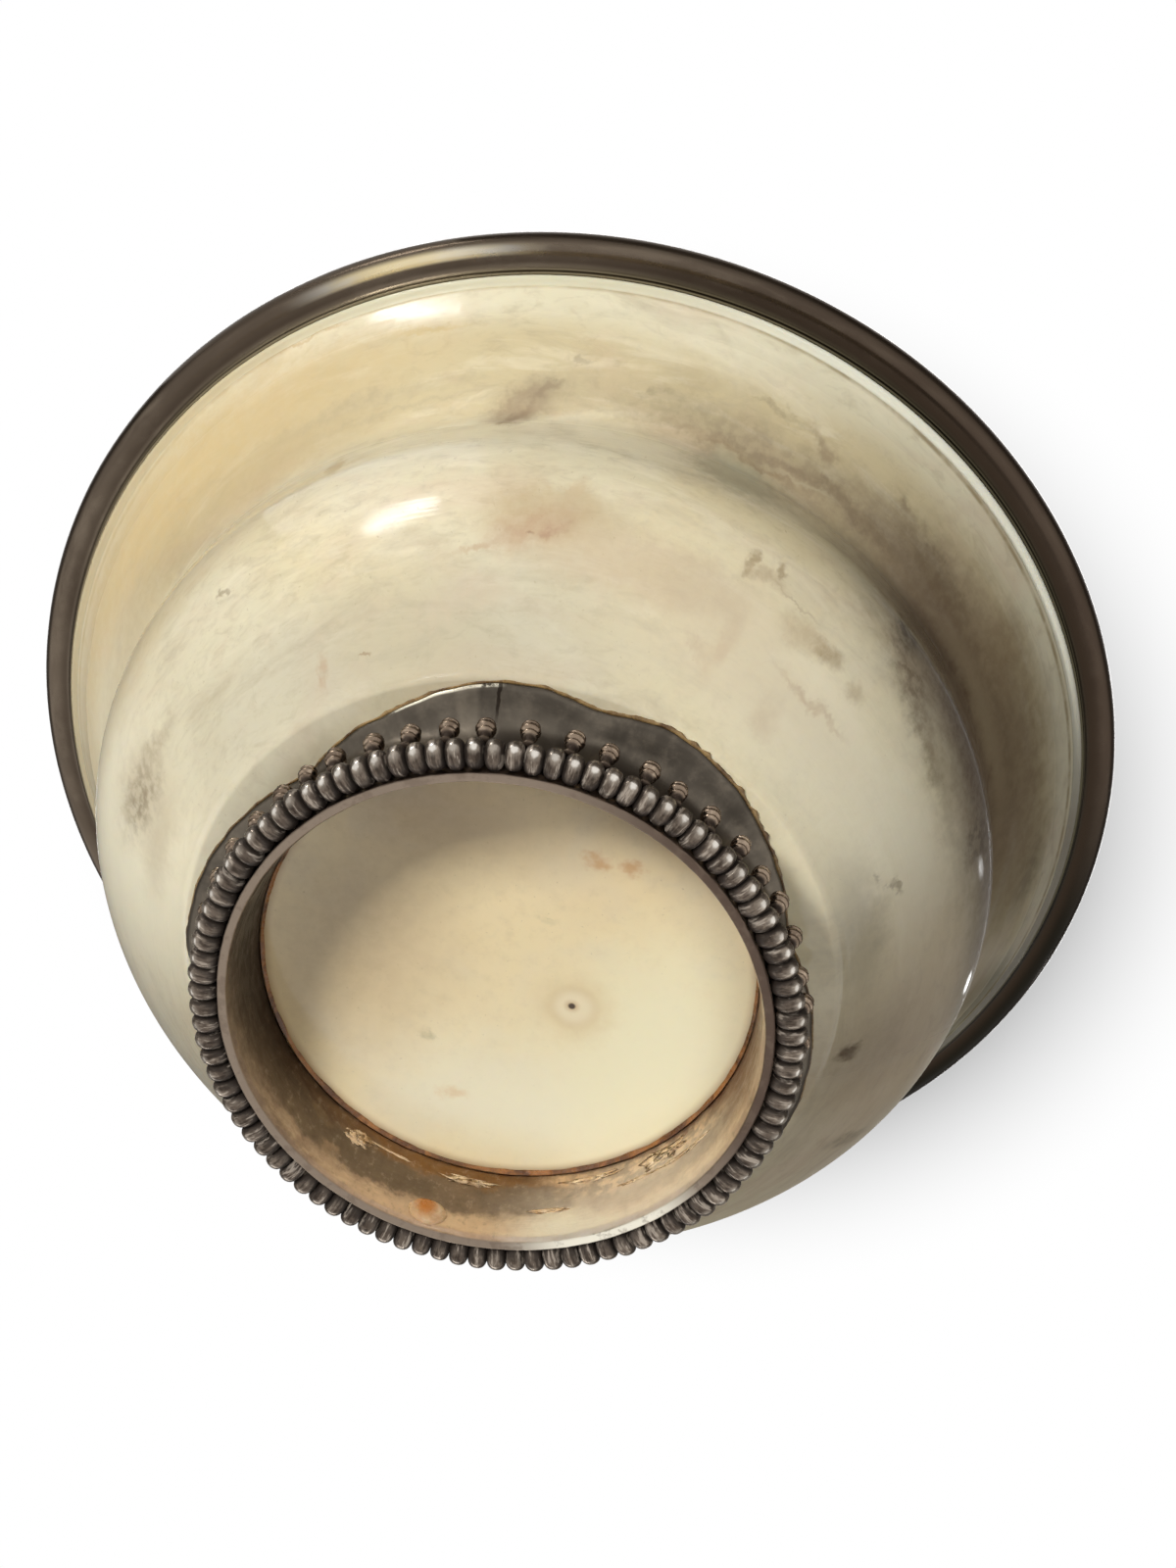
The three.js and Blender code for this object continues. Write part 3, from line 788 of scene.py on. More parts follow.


# The rounded fillet under the silver, paler in front where painted light falls on it and in painted shade
# at the right, and the dirty groove below it
def filletShades(tree, cup, colour, outside):
    height, turn = cup["Height"], cup["Turn"]
    high = times(tree, ramp(tree, height, *bowlZones["fillet"]), outside)
    paler = mixTones(tree, rising(tree, turn, *bowlZones["warmTurn"]), tone(boneLook["warmFillet"]),
                     tone(boneLook["fillet"]))
    # painted light on the fillet in front, then painted shade at the right
    paler = mixTones(tree, rising(tree, turn, *bowlZones["litTurn"]), paler, tone(boneLook["litFillet"]))
    paler = mixTones(tree, rising(tree, turn, *bowlZones["shadedTurn"]), paler, tone(boneLook["shadedFillet"]))
    colour = mixTones(tree, times(tree, high, 0.8), colour, paler)
    seam = times(tree, ramp(tree, height, *bowlZones["underSilver"]), 0.45, outside)
    colour = mixTones(tree, seam, colour, tone(boneLook["underSilver"]))
    # dirt lies in a turned line that isn't quite level
    level = sums(tree, "MULTIPLY_ADD", ramp(tree, turn, 0.1, 1.2), 0.55, height)
    level = sums(tree, "MULTIPLY_ADD", ramp(tree, turn, -0.8, -1.4), 0.6, level)
    away = sums(tree, "ABSOLUTE", sums(tree, "SUBTRACT", level, bowlZones["grooveLevel"]))
    uneven = ramp(tree, cloud(tree, cup["Wall"], 0.3, 3, 0.6).outputs[0], 0.35, 0.6, 0.4, 1.0)
    uneven = times(tree, uneven, sums(tree, "MULTIPLY_ADD", rising(tree, turn, 0.0, 0.6), 0.4, 0.35))
    line = times(tree, ramp(tree, away, *bowlZones["grooveWidth"]), outside, uneven)
    stain = mixTones(tree, rising(tree, turn, -0.9, 0.6), tone(boneLook["warmGroove"]),
                     tone(boneLook["groove"]))
    return mixTones(tree, line, colour, stain)


# Where hands have dulled the polish: the neck, and the belly's right side above its edge
def handledShare(tree, cup):
    height, turn = cup["Height"], cup["Turn"]
    neck = times(tree, ramp(tree, height, *bowlZones["neckFrom"]), ramp(tree, height, *bowlZones["neckTo"]))
    fromShoulder = sums(tree, "SUBTRACT", turn, bowlZones["shoulderTurn"])
    edgeLevel = sums(tree, "MULTIPLY_ADD", fromShoulder, bowlZones["shoulderFall"], height)
    shoulder = times(tree, ramp(tree, edgeLevel, *bowlZones["shoulder"]),
                     ramp(tree, turn, *bowlZones["shoulderFrom"]))
    side = sums(tree, "MAXIMUM", shoulder, ramp(tree, turn, *bowlZones["sideFrom"]))
    side = times(tree, side, ramp(tree, turn, *bowlZones["sideTo"]))
    side = times(tree, side, ramp(tree, height, *bowlZones["sideTop"]))
    return times(tree, sums(tree, "MAXIMUM", neck, side), 0.9)


def bowlBone():
    material, tree = newMaterial("turnedBone")
    cup = placeOn(tree)
    colour, pores = boneGround(tree, cup["Place"], boneLook["ivory"], boneLook["honey"])
    colour = painted(tree, colour, ramp(tree, cup["Height"], *bowlZones["flare"]), 0.85, boneLook["flare"])
    colour = painted(tree, colour, ramp(tree, cup["Height"], *bowlZones["mouth"]), 0.85, boneLook["mouth"])
    colour = smeared(tree, colour, cup["Place"])
    marked = addMarks(tree, colour, cup["Wall"], bowlPaintedLightAndShade + bowlMarks, onWall)
    # the marks stay outside, where the surface faces away from the cup's axis or down
    normal = tree.nodes.new("ShaderNodeTexCoord").outputs["Normal"]
    spoke = vectorSums(tree, "NORMALIZE", stretched(tree, cup["Place"], (1, 1, 0)))
    facing = addNode(tree, "ShaderNodeVectorMath", normal, vectorSums(tree, "ADD", spoke, (0, 0, -0.3)),
                     operation="DOT_PRODUCT").outputs["Value"]
    colour = mixTones(tree, ramp(tree, facing, 0.0, 0.15), colour, marked)
    outside = ramp(tree, cup["Radius"], *bowlZones["outside"])
    colour = filletShades(tree, cup, colour, outside)
    finishBone(tree, colour, pores, cup["Place"], handledShare(tree, cup))
    return material


# The plate's marks and its painted light and shadow have their places across and along it, from its middle
plateMarksAndPaintedLight = [
    # painted light on the plate's brighter half
    mark((14, 10), (34, 30), (254, 240, 200), 0.7, lean=20, soft=1, broken=0),
    mark((2, 17), (38, 17), (255, 248, 218), 0.65, soft=1, broken=0),
    mark((17, 6), (22, 36), (255, 247, 208), 0.75, soft=1, broken=0),
    mark((7.3, 3.0), (8.5, 8), (222, 196, 146), 0.6, soft=1, broken=0.1),
    mark((7.3, 3.0), (5.4, 5), (216, 186, 132), 0.5, soft=0.5, broken=0, crisp=True),
    mark((7.3, 3.0), (4.6, 4.3), (252, 238, 202), 0.75, soft=0.5, broken=0, crisp=True),
    mark((7.1, 2.9), (1.6, 1.4), (190, 150, 96), 0.6, soft=0.9, broken=0, crisp=True),
    mark((7.1, 2.9), (0.8, 0.75), (58, 36, 18), 0.95, soft=0.4, broken=0, crisp=True),
    mark((5.6, -14.2), (2.6, 2), (206, 142, 76), 0.85, soft=0.9, broken=0.1),
    mark((9.0, -14.5), (2.6, 2.1), (206, 138, 72), 0.8, soft=0.9, broken=0.1),
    mark((-6, 10.8), (2.6, 1.2), (176, 170, 126), 0.5, lean=20, soft=0.8),
    mark((2.7, -6), (2.4, 1), (186, 176, 132), 0.4, soft=0.8),
    mark((-2.2, 16.7), (3, 1.6), (224, 176, 112), 0.4, soft=0.9),
    # the next two: painted shadow of the foot wall, on the plate's -x side and towards -y
    mark((-15, 1), (22, 34), (194, 168, 128), 0.7, soft=1, broken=0.1),
    mark((-10, -15), (26, 13), (146, 114, 80), 0.55, soft=1, broken=0.1),
    mark((2, -13), (30, 14), (228, 206, 164), 0.4, soft=1, broken=0.2),
]


def plateBone():
    material, tree = newMaterial("plateBone")
    cup = placeOn(tree)
    colour, pores = boneGround(tree, cup["Place"], boneLook["plateIvory"], boneLook["plateHoney"])
    flat = stretched(tree, cup["Place"], (1, 1, 0))
    colour = addMarks(tree, colour, flat, plateMarksAndPaintedLight, onPlate)
    colour = painted(tree, colour, ramp(tree, cup["Radius"], 23.6, 24.9), 0.6, boneLook["plateRim"])
    finishBone(tree, colour, pores, cup["Place"])
    return material


# The bowl's outline from the middle of its floor, over the mouth and down to the middle
# of its underside; a curve has its start, two handles, its end and its number of points
bowl = {
    "floor": [(0, 15.5), (1.2, 15.5)],
    "inside": [
        ((42.86, 32.7), (42.86, 18.08), (30.0, 15.5), (2.5, 15.5), 36),
        ((41.9, 39.6), (41.9, 37.12), (42.86, 35.18), (42.86, 32.7), 8),
        ((49.33, 54.16), (46.27, 49.06), (41.9, 43.24), (41.9, 39.6), 16),
    ],
    "edge": [(49.33, 54.16), (50.3, 58.2), (53.1, 58.2), (53.1, 55.3), (53.6, 55.28)],
    "edgeRound": 0.3,
    "fillet": ((53.6, 55.28), (53.82, 55.0), (53.5, 54.76), (53.05, 54.7), 8),
    "groove": [(52.92, 54.62), (52.84, 54.52), (52.82, 54.4), (52.83, 54.3)],
    "outside": [
        ((51.31, 51.6), (51.78, 52.5), (52.28, 53.35), (52.84, 54.2), 14),
        ((46.1, 42.3), (47.7, 44.97), (49.75, 48.6), (51.31, 51.6), 14),
        ((45.1, 39.6), (45.1, 40.7), (45.55, 41.4), (46.1, 42.3), 14),
        ((46.06, 32.7), (46.06, 35.18), (45.1, 37.12), (45.1, 39.6), 12),
        ((32.58, 9.9), (39.19, 17.42), (46.06, 26.2), (46.06, 32.7), 40),
    ],
    "under": [(32.9, 10.25), (32.4, 9.85), (26.9, 9.2), (26.9, 12.5), (0, 12.5)],
    "underRound": 0.25,
    "steps": 256, "unevenness": 0.12, "patternScale": 28, "seed": 3,
}


def makeBowl():
    points = [Vector(point) for point in bowl["floor"]]
    points += runBack(bowl["inside"])
    points += softened(bowl["edge"], bowl["edgeRound"], closed=False)
    points += curved(*bowl["fillet"])
    points += [Vector(point) for point in bowl["groove"]]
    points += runBack(bowl["outside"])
    points += softened(bowl["under"], bowl["underRound"], closed=False)
    mesh = turnedMesh("boneBowl", points, bowlBone(), bowl["steps"], bowl["unevenness"],
                      bowl["patternScale"], bowl["seed"], closed=False)
    addPiece("boneBowl", mesh, "bone", "bone_bowl")


plate = {
    "radius": 26.55, "bottom": 10.2, "top": 12.2, "edge": 0.3, "rings": (4, 9, 14, 19, 23),
    "steps": 160, "unevenness": 0.06, "patternScale": 40, "seed": 8,
}


def makePlate():
    points = softened([(0, plate["bottom"]), (plate["radius"], plate["bottom"]),
                       (plate["radius"], plate["top"]), (0, plate["top"])], plate["edge"], closed=False)
    rings = [Vector((radius, plate["bottom"])) for radius in plate["rings"]]
    points = points[:1] + rings + points[1:]
    mesh = turnedMesh("basePlate", points, plateBone(), plate["steps"], plate["unevenness"],
                      plate["patternScale"], plate["seed"], closed=False)
    addPiece("basePlate", mesh, "bone", "base_plate")


makeBowl()
makePlate()
print("bone: bowl and base plate")


# Silver: tarnish in layers, with paler metal where hands have rubbed it

silverLook = {
    "pull": (1, 1, 1), "scratch": (0.25, 0.25, 5.0), "gapFrom": 0.25, "gapTo": 0.75, "dirt": (34, 26, 20),
}


# Tarnish, rubbed metal, and dirt where the mesh says that there is a gap; on the beads that attribute also
# carries painted shade
def silverFinish(name, look):
    material, tree = newMaterial(name)
    cup = placeOn(tree)
    pulled = stretched(tree, cup["Place"], look["pull"])
    broad = cloud(tree, pulled, look["broadScale"], 4, 0.6, 0.5).outputs[0]
    small = cloud(tree, pulled, look["smallScale"], 5, 0.65).outputs[0]
    colour = mixTones(tree, ramp(tree, broad, 0.36, 0.64), tone(look["dark"]), tone(look["mid"]))
    colour = painted(tree, colour, ramp(tree, small, 0.46, 0.7), look["rub"], look["bright"])
    dirt = times(tree, ramp(tree, carried(tree, "gap"), look["gapFrom"], look["gapTo"]), 0.92)
    colour = mixTones(tree, dirt, colour, tone(look["dirt"]))
    return material, tree, cup, colour, {"broad": broad, "small": small, "dirt": dirt}


# Fine scratches and pits in relief, and a polish that dirt dulls
def finishSilver(tree, look, colour, tarnish, place):
    shader = tree.nodes["Principled BSDF"]
    small, dirt = tarnish["small"], tarnish["dirt"]
    scratch = cloud(tree, stretched(tree, place, look["scratch"]), 1.0, 3, 0.7).outputs[0]
    height = sums(tree, "ADD", times(tree, small, 0.7), times(tree, scratch, 0.5))
    normal = bumped(tree, height, look["relief"], 0.6)
    worn = mixNumbers(tree, ramp(tree, small, 0.35, 0.65), look["dull"], look["smooth"])
    gloss = mixNumbers(tree, dirt, worn, 0.75)
    feed(tree, shader.inputs["Base Color"], colour)
    feed(tree, shader.inputs["Roughness"], gloss)
    feed(tree, shader.inputs["Normal"], normal)
    feed(tree, shader.inputs["Metallic"], mixNumbers(tree, dirt, 1.0, 0.3))


beads = {
    "ringRadius": 28.88, "lift": 1.4, "radius": 1.37, "breadth": 1.17, "neck": 0.3, "fullness": 2.3,
    "count": 96, "rings": 12, "sides": 24, "sizeChange": 0.035, "shift": 0.07, "seed": 4,
}

beadLook = {
    **silverLook,
    "dark": (84, 73, 64), "mid": (110, 98, 87), "bright": (150, 136, 121), "rub": 0.5,
    "dim": (64, 54, 47), "foldDarkReflection": (40, 33, 28), "foldPaleReflection": (190, 177, 162), "worn": (190, 178, 163),
    "bareHighlight": (246, 240, 230),
    "broadScale": 0.3, "smallScale": 1.3, "dull": 0.21, "smooth": 0.13, "relief": 0.03,
    "gapFrom": 0.06, "gapTo": 0.58, "dirt": (34, 27, 22),
}


def beadSilver():
    material, tree, cup, colour, tarnish = silverFinish("beadSilver", beadLook)
    wear = carried(tree, "wear")
    colour = painted(tree, colour, ramp(tree, wear, -0.2, 1.0), 0.35, beadLook["dim"])
    # light and dark stripes run over each bead from side to side: folds in the metal, painted with their
    # reflections
    along = times(tree, cup["Turn"], beads["ringRadius"])
    across = addNode(tree, "ShaderNodeCombineXYZ", along, cup["Height"], cup["Radius"]).outputs[0]
    folds = cloud(tree, stretched(tree, across, (1.9, 0.3, 0.3)), 1.0, 3, 0.7).outputs[0]
    colour = painted(tree, colour, ramp(tree, folds, 0.5, 0.6), 0.65, beadLook["foldDarkReflection"])
    colour = painted(tree, colour, ramp(tree, folds, 0.46, 0.36), 0.6, beadLook["foldPaleReflection"])
    # a painted highlight on the crown, as worn and bare metal, barest on the smaller beads
    uneven = sums(tree, "SUBTRACT", tarnish["small"], 0.5)
    glint = sums(tree, "MULTIPLY_ADD", uneven, 0.12, carried(tree, "crown"))
    colour = painted(tree, colour, ramp(tree, glint, 0.72, 1.0), 0.45, beadLook["worn"])
    bareAndLit = times(tree, ramp(tree, glint, 0.9, 0.98), ramp(tree, wear, 1.3, -0.2, 0, 0.7))
    colour = mixTones(tree, bareAndLit, colour, tone(beadLook["bareHighlight"]))
    finishSilver(tree, beadLook, colour, tarnish, cup["Place"])
    return material


def makeBeads():
    base = profileMesh("wireSeat", [(0, 0), (1, 0)], False)
    values = {
        "Ring Radius": beads["ringRadius"] * millimetre, "Lift": beads["lift"] * millimetre,
        "Bead Radius": beads["radius"] * millimetre, "Breadth": beads["breadth"],
        "Neck": beads["neck"], "Fullness": beads["fullness"], "Beads": beads["count"],
        "Rings": beads["rings"], "Sides": beads["sides"], "Size Change": beads["sizeChange"],
        "Shift": beads["shift"] * millimetre, "Seed": beads["seed"], "Material": beadSilver(),
    }
    addPiece("beadedWire", grown("beadedWire", base, beadTree, values), "silver", "beaded_wire")


posts = {
    "count": 48, "ringRadius": 29.5, "base": 2.6, "sides": 16, "neck": 0.25, "cap": 0.8, "lean": 2,
    "turnChange": 0.7, "leanChange": 6.0, "sizeChange": 0.06, "seed": 9,
    # foot, small ring, neck, lower disc, groove and domed cap
    "outline": [
        (0, 0), (0.6, 0), (0.64, 0.22), (0.48, 0.4), (0.4, 0.6), (0.38, 1.2), (0.42, 1.32), (0.74, 1.44),
        (0.86, 1.58), (0.82, 1.78), (0.6, 1.87), (0.58, 1.95), (0.94, 2.05), (1.04, 2.26), (1.0, 2.5),
        (0.72, 2.6), (0.7, 2.68), (0.92, 2.8), (0.94, 2.96), (0.78, 3.12), (0.45, 3.27), (0, 3.35),
    ],
}

postLook = {
    **silverLook,
    "dark": (108, 92, 78), "mid": (146, 128, 110), "bright": (192, 172, 150), "rub": 0.7,
    "broadScale": 0.3, "smallScale": 1.1, "dull": 0.3, "smooth": 0.18, "relief": 0.03,
    "gapFrom": 0.1, "gapTo": 0.75, "dirt": (48, 37, 29),
}


def postSilver():
    material, tree, cup, colour, tarnish = silverFinish("postSilver", postLook)
    colour = painted(tree, colour, ramp(tree, cup["Height"], 4.1, 3.4), 0.6, postLook["dirt"])
    finishSilver(tree, postLook, colour, tarnish, cup["Place"])
    return material


def makePosts():
    finish = postSilver()
    single = turnedMesh("post", posts["outline"], finish, posts["sides"], closed=False)
    outwards(single)
    values = {
        "Count": posts["count"], "Ring Radius": posts["ringRadius"] * millimetre,
        "Lift": posts["base"] * millimetre, "Neck": posts["neck"] * millimetre,
        "Cap": posts["cap"] * millimetre, "Lean": math.radians(posts["lean"]),
        "Turn Change": math.radians(posts["turnChange"]),
        "Lean Change": math.radians(posts["leanChange"]),
        "Size Change": posts["sizeChange"], "Seed": posts["seed"], "Material": finish,
    }
    nodes = ["post_%02d" % (i + 1) for i in range(posts["count"])]
    addPiece("postRow", grown("postRow", single, postTree, values), "silver", *nodes)


makeBeads()
makePosts()
print("foot: beaded wire and posts")


foot = {
    "lipInner": 26.35, "wall": 1.0, "top": 9.9, "lean": 1.45, "beadTop": 2.9, "lipHeight": 0.05,
    "round": 0.2, "steps": 240, "unevenness": 0.16, "patternScale": 260, "seed": 5,
}

footLook = {
    **silverLook,
    "dark": (150, 128, 111), "mid": (180, 157, 138), "bright": (214, 192, 170), "rub": 0.5,
    "grey": (140, 120, 102), "streak": (92, 76, 64), "paleStreak": (214, 194, 174),
    "lip": (140, 125, 110), "darkLip": (92, 77, 67), "shiningLip": (240, 234, 216),
    "lipSpots": (110, 95, 82),
    "pull": (0.6, 0.6, 1.4), "broadScale": 0.22, "smallScale": 0.8, "dull": 0.5, "smooth": 0.3,
    "relief": 0.12,
}


def footInner(height):
    return foot["lipInner"] - foot["lean"] * height / foot["top"]


# An azimuth and height on the inside of the foot wall, counted from the cup's back
def onFoot(at):
    return math.radians(90 - at[0]) * foot["lipInner"], at[1], 0


# What lies on the inside of the wall: azimuth and height, then sizes in millimetres
footMarks = [
    mark((45, 1.6), (50, 6), (238, 210, 182), 0.75, soft=1, broken=0.2),
    # painted highlight on the wall, low down
    mark((63, 2.2), (6, 8), (255, 246, 226), 0.9, soft=1, broken=0.2),
    mark((90, 1.4), (30, 4.6), (238, 208, 180), 0.75, soft=0.9, broken=0.1),
    mark((160, 1.4), (30, 5), (166, 148, 130), 0.7, soft=1, broken=0.2),
    mark((28, 4.4), (26, 3), (138, 114, 96), 0.65, soft=0.9, broken=0.5),
    mark((4, 5), (12, 10), (146, 108, 76), 0.6, soft=1, broken=0.2),
    mark((92, 8.9), (34, 4), (142, 102, 58), 0.8, soft=0.8, broken=0.2),
    mark((148, 8.2), (36, 5), (98, 74, 54), 0.85, soft=0.8, broken=0.1),
    mark((72, 6.1), (11, 4.4), (126, 110, 95), 0.85, soft=0.3, broken=0.15),
    mark((89, 5.3), (13, 5.2), (132, 115, 100), 0.85, soft=0.3, broken=0.15),
    mark((107, 5.4), (14, 5), (120, 105, 90), 0.9, soft=0.25, broken=0.1),
    mark((128, 5.2), (16, 5.6), (116, 101, 86), 0.9, soft=0.35, broken=0.1),
    mark((152, 5), (22, 6.4), (116, 100, 84), 0.85, soft=0.6, broken=0.1),
    mark((184, 5.5), (14, 11), (80, 60, 42), 0.8, soft=1, broken=0.1),
    # dark band where the wall meets the plate at the left: glue with painted shade
    mark((160, 10), (40, 2.6), (44, 29, 20), 0.9, soft=0.8, broken=0),
    mark((119, 3.7), (2.2, 2), (164, 140, 118), 0.8, soft=0.5, broken=0.3),
    mark((124, 7.1), (4, 1.6), (166, 140, 112), 0.6, soft=0.7, broken=0.5),
    mark((86, 6.6), (3, 2.6), (150, 128, 108), 0.5, soft=0.8, broken=0.8),
    mark((40, 7.4), (23, 4.4), (250, 218, 182), 0.8, soft=0.7, broken=0.95),
    mark((62, 8.8), (6, 1.8), (248, 214, 176), 0.8, soft=0.7, broken=0.4),
    mark((32, 9.7), (18, 1.6), (108, 58, 36), 0.75, soft=0.7, broken=0.2),
]


# Broad painted light and painted shade on the wall: bright at the right, darkest at the left
footPaintedLightAndShade = [
    mark((45, 4.5), (28, 11), (255, 244, 240), 0.6, soft=1, broken=0.1),
    mark((46, 1), (26, 4), (255, 246, 240), 0.65, soft=1, broken=0.1),
    mark((62, 1.6), (13, 5.5), (255, 252, 246), 0.75, soft=1, broken=0.1),
    mark((195, 5), (56, 30), (26, 15, 8), 0.95, soft=1, broken=0),
    mark((150, 8.5), (34, 9), (40, 26, 16), 0.7, soft=1, broken=0.1),
    mark((6, 9), (16, 7), (110, 66, 32), 0.6, soft=1, broken=0.1),
]


def footSilver():
    material, tree, cup, colour, tarnish = silverFinish("footSilver", footLook)
    parts = addNode(tree, "ShaderNodeSeparateXYZ", cup["Place"]).outputs
    fromBack = sums(tree, "ARCTAN2", parts[0], parts[1])
    along = times(tree, fromBack, foot["lipInner"])
    wall = addNode(tree, "ShaderNodeCombineXYZ", along, parts[2], 0.0).outputs[0]
    # greyer above an uneven level, then stained, streaked and shaded
    level = sums(tree, "ADD", cup["Height"], sums(tree, "MULTIPLY_ADD", tarnish["broad"], 3.0, -1.5))
    colour = painted(tree, colour, ramp(tree, level, 2.2, 4.0), 0.7, footLook["grey"])
    colour = addMarks(tree, colour, wall, footMarks, onFoot)
    streaks = cloud(tree, stretched(tree, wall, (0.9, 0.7, 1)), 1.0, 5, 0.72).outputs[0]
    colour = painted(tree, colour, ramp(tree, streaks, 0.5, 0.7), 0.3, footLook["streak"])
    colour = painted(tree, colour, ramp(tree, streaks, 0.48, 0.3), 0.3, footLook["paleStreak"])
    colour = addMarks(tree, colour, wall, footPaintedLightAndShade, onFoot)
    # the flat lip: darker on the right, with a painted highlight at one place
    lip = ramp(tree, cup["Height"], 0.4, 0.12)
    right = times(tree, ramp(tree, cup["Turn"], -0.2, 0.6), ramp(tree, cup["Turn"], 2.1, 1.7))
    edge = mixTones(tree, right, tone(footLook["lip"]), tone(footLook["darkLip"]))
    shining = sums(tree, "ABSOLUTE", sums(tree, "SUBTRACT", fromBack, 0.68))
    edge = mixTones(tree, ramp(tree, shining, 0.45, 0.15), edge, tone(footLook["shiningLip"]))
    edge = painted(tree, edge, ramp(tree, tarnish["small"], 0.5, 0.62), 0.5, footLook["lipSpots"])
    colour = mixTones(tree, lip, colour, edge)
    finishSilver(tree, footLook, colour, tarnish, cup["Place"])
    return material


def makeFootRing():
    lip = foot["lipInner"] + foot["wall"]
    top = footInner(foot["top"])
    outline = [
        (lip + 0.12, 0.3), (footInner(foot["beadTop"]) + foot["wall"], foot["beadTop"]),
        (top + foot["wall"], foot["top"]), (top, foot["top"]), (footInner(5), 5), (footInner(0.9), 0.9),
        (foot["lipInner"] + 0.22, foot["lipHeight"]), (lip - 0.08, foot["lipHeight"]),
    ]
    mesh = turnedMesh("footRing", softened(outline, foot["round"]), footSilver(), foot["steps"],
                      foot["unevenness"], foot["patternScale"], foot["seed"])
    addPiece("footRing", mesh, "foot_silver", "foot_ring")


collar = {
    "footRadius": 27.675, "base": 2.5, "thickness": 0.4, "flare": 4.9, "shortReach": 0.5,
    "lobes": 3, "lobeTurn": -86, "notchDepth": 1.4, "notchWidth": 9, "gapToBone": 0.06,
    "seamAt": -105, "seamHalf": 0.9, "lap": 0.16, "lapLength": 40, "waver": 0.28, "dents": 0.1,
    "columns": 420, "rows": 18,
}

collarLook = {
    **silverLook,
    "dark": (86, 79, 70), "mid": (105, 97, 86), "bright": (128, 117, 102), "rub": 0.35,
    "edgeHighlight": (236, 228, 206), "strip": (150, 139, 122), "seamLineAndShade": (40, 32, 26),
    "pull": (1, 1, 0.5), "broadScale": 0.15, "smallScale": 0.5, "dull": 0.5, "smooth": 0.36,
    "relief": 0.04,
}


# Height of the bowl's sloping underside at a radius, between the foot and the seat's edge
def underside(radius):
    inner, outer = Vector((26.9, 9.2)), Vector((32.575, 9.9))
    return inner.y + (outer.y - inner.y) * (radius - inner.x) / (outer.x - inner.x)


# How far the collar spreads at an angle: lobes, each notched in its middle, cut by hand
def collarReach(degrees):
    lobeAngle = 360 / collar["lobes"]
    fromMiddle = degrees - collar["lobeTurn"]
    fromMiddle -= lobeAngle * round(fromMiddle / lobeAngle)
    lobe = math.cos(math.pi * fromMiddle / lobeAngle)
    notch = collar["notchDepth"] * math.exp(-((fromMiddle / collar["notchWidth"]) ** 2))
    angle = math.radians(degrees)
    waver = ringNoise(angle, 5, 0.7) + 0.5 * ringNoise(angle, 14, 3.1)
    reach = collar["shortReach"] + (collar["flare"] - collar["shortReach"]) * lobe - notch
    return min(reach + collar["waver"] * waver, collar["flare"])


# The collar's section there: up behind the beads, then out along the bone
def collarRow(degrees):
    reach = collarReach(degrees)
    edgeRadius = collar["footRadius"] + reach
    edgeHeight = underside(edgeRadius) - collar["thickness"] - collar["gapToBone"]
    rise = edgeHeight - collar["base"]
    start = Vector((collar["footRadius"], collar["base"]))
    first = Vector((collar["footRadius"] + 0.015 * reach, edgeHeight - 0.14 * rise))
    second = Vector((collar["footRadius"] + 0.127 * reach, edgeHeight - 0.17 * rise))
    end = Vector((edgeRadius, edgeHeight))
    return [start] + curved(start, first, second, end, collar["rows"])


def collarSilver():
    material, tree, cup, colour, tarnish = silverFinish("collarSilver", collarLook)
    edge = carried(tree, "edge")
    turn = times(tree, cup["Turn"], 180 / math.pi)
    # turns in degrees from the front: a painted highlight along a length of the edge and a paler strip
    # below it
    left = times(tree, ramp(tree, turn, -36, -33), ramp(tree, turn, -13, -16))
    edgeHighlight = times(tree, ramp(tree, edge, 0.965, 0.985), left, ramp(tree, tarnish["small"], 0.36, 0.46))
    colour = mixTones(tree, edgeHighlight, colour, tone(collarLook["edgeHighlight"]))
    strip = times(tree, ramp(tree, turn, -23, -21.5), ramp(tree, turn, -17.5, -19))
    colour = painted(tree, colour, strip, 0.35, collarLook["strip"])
    # the lap seam as a crooked dark line, and painted shade low behind the beads
    bent = sums(tree, "MULTIPLY_ADD", sums(tree, "SUBTRACT", tarnish["broad"], 0.5), 5.0, turn)
    fromLap = sums(tree, "ABSOLUTE", sums(tree, "ADD", bent, 14.6))
    lap = times(tree, ramp(tree, fromLap, 0.5, 0.2), ramp(tree, edge, 0.45, 0.8, 0.0, 0.85))
    colour = mixTones(tree, lap, colour, tone(collarLook["seamLineAndShade"]))
    colour = painted(tree, colour, ramp(tree, cup["Height"], 4.8, 3.0), 0.7, collarLook["seamLineAndShade"])
    finishSilver(tree, collarLook, colour, tarnish, cup["Place"])
    return material


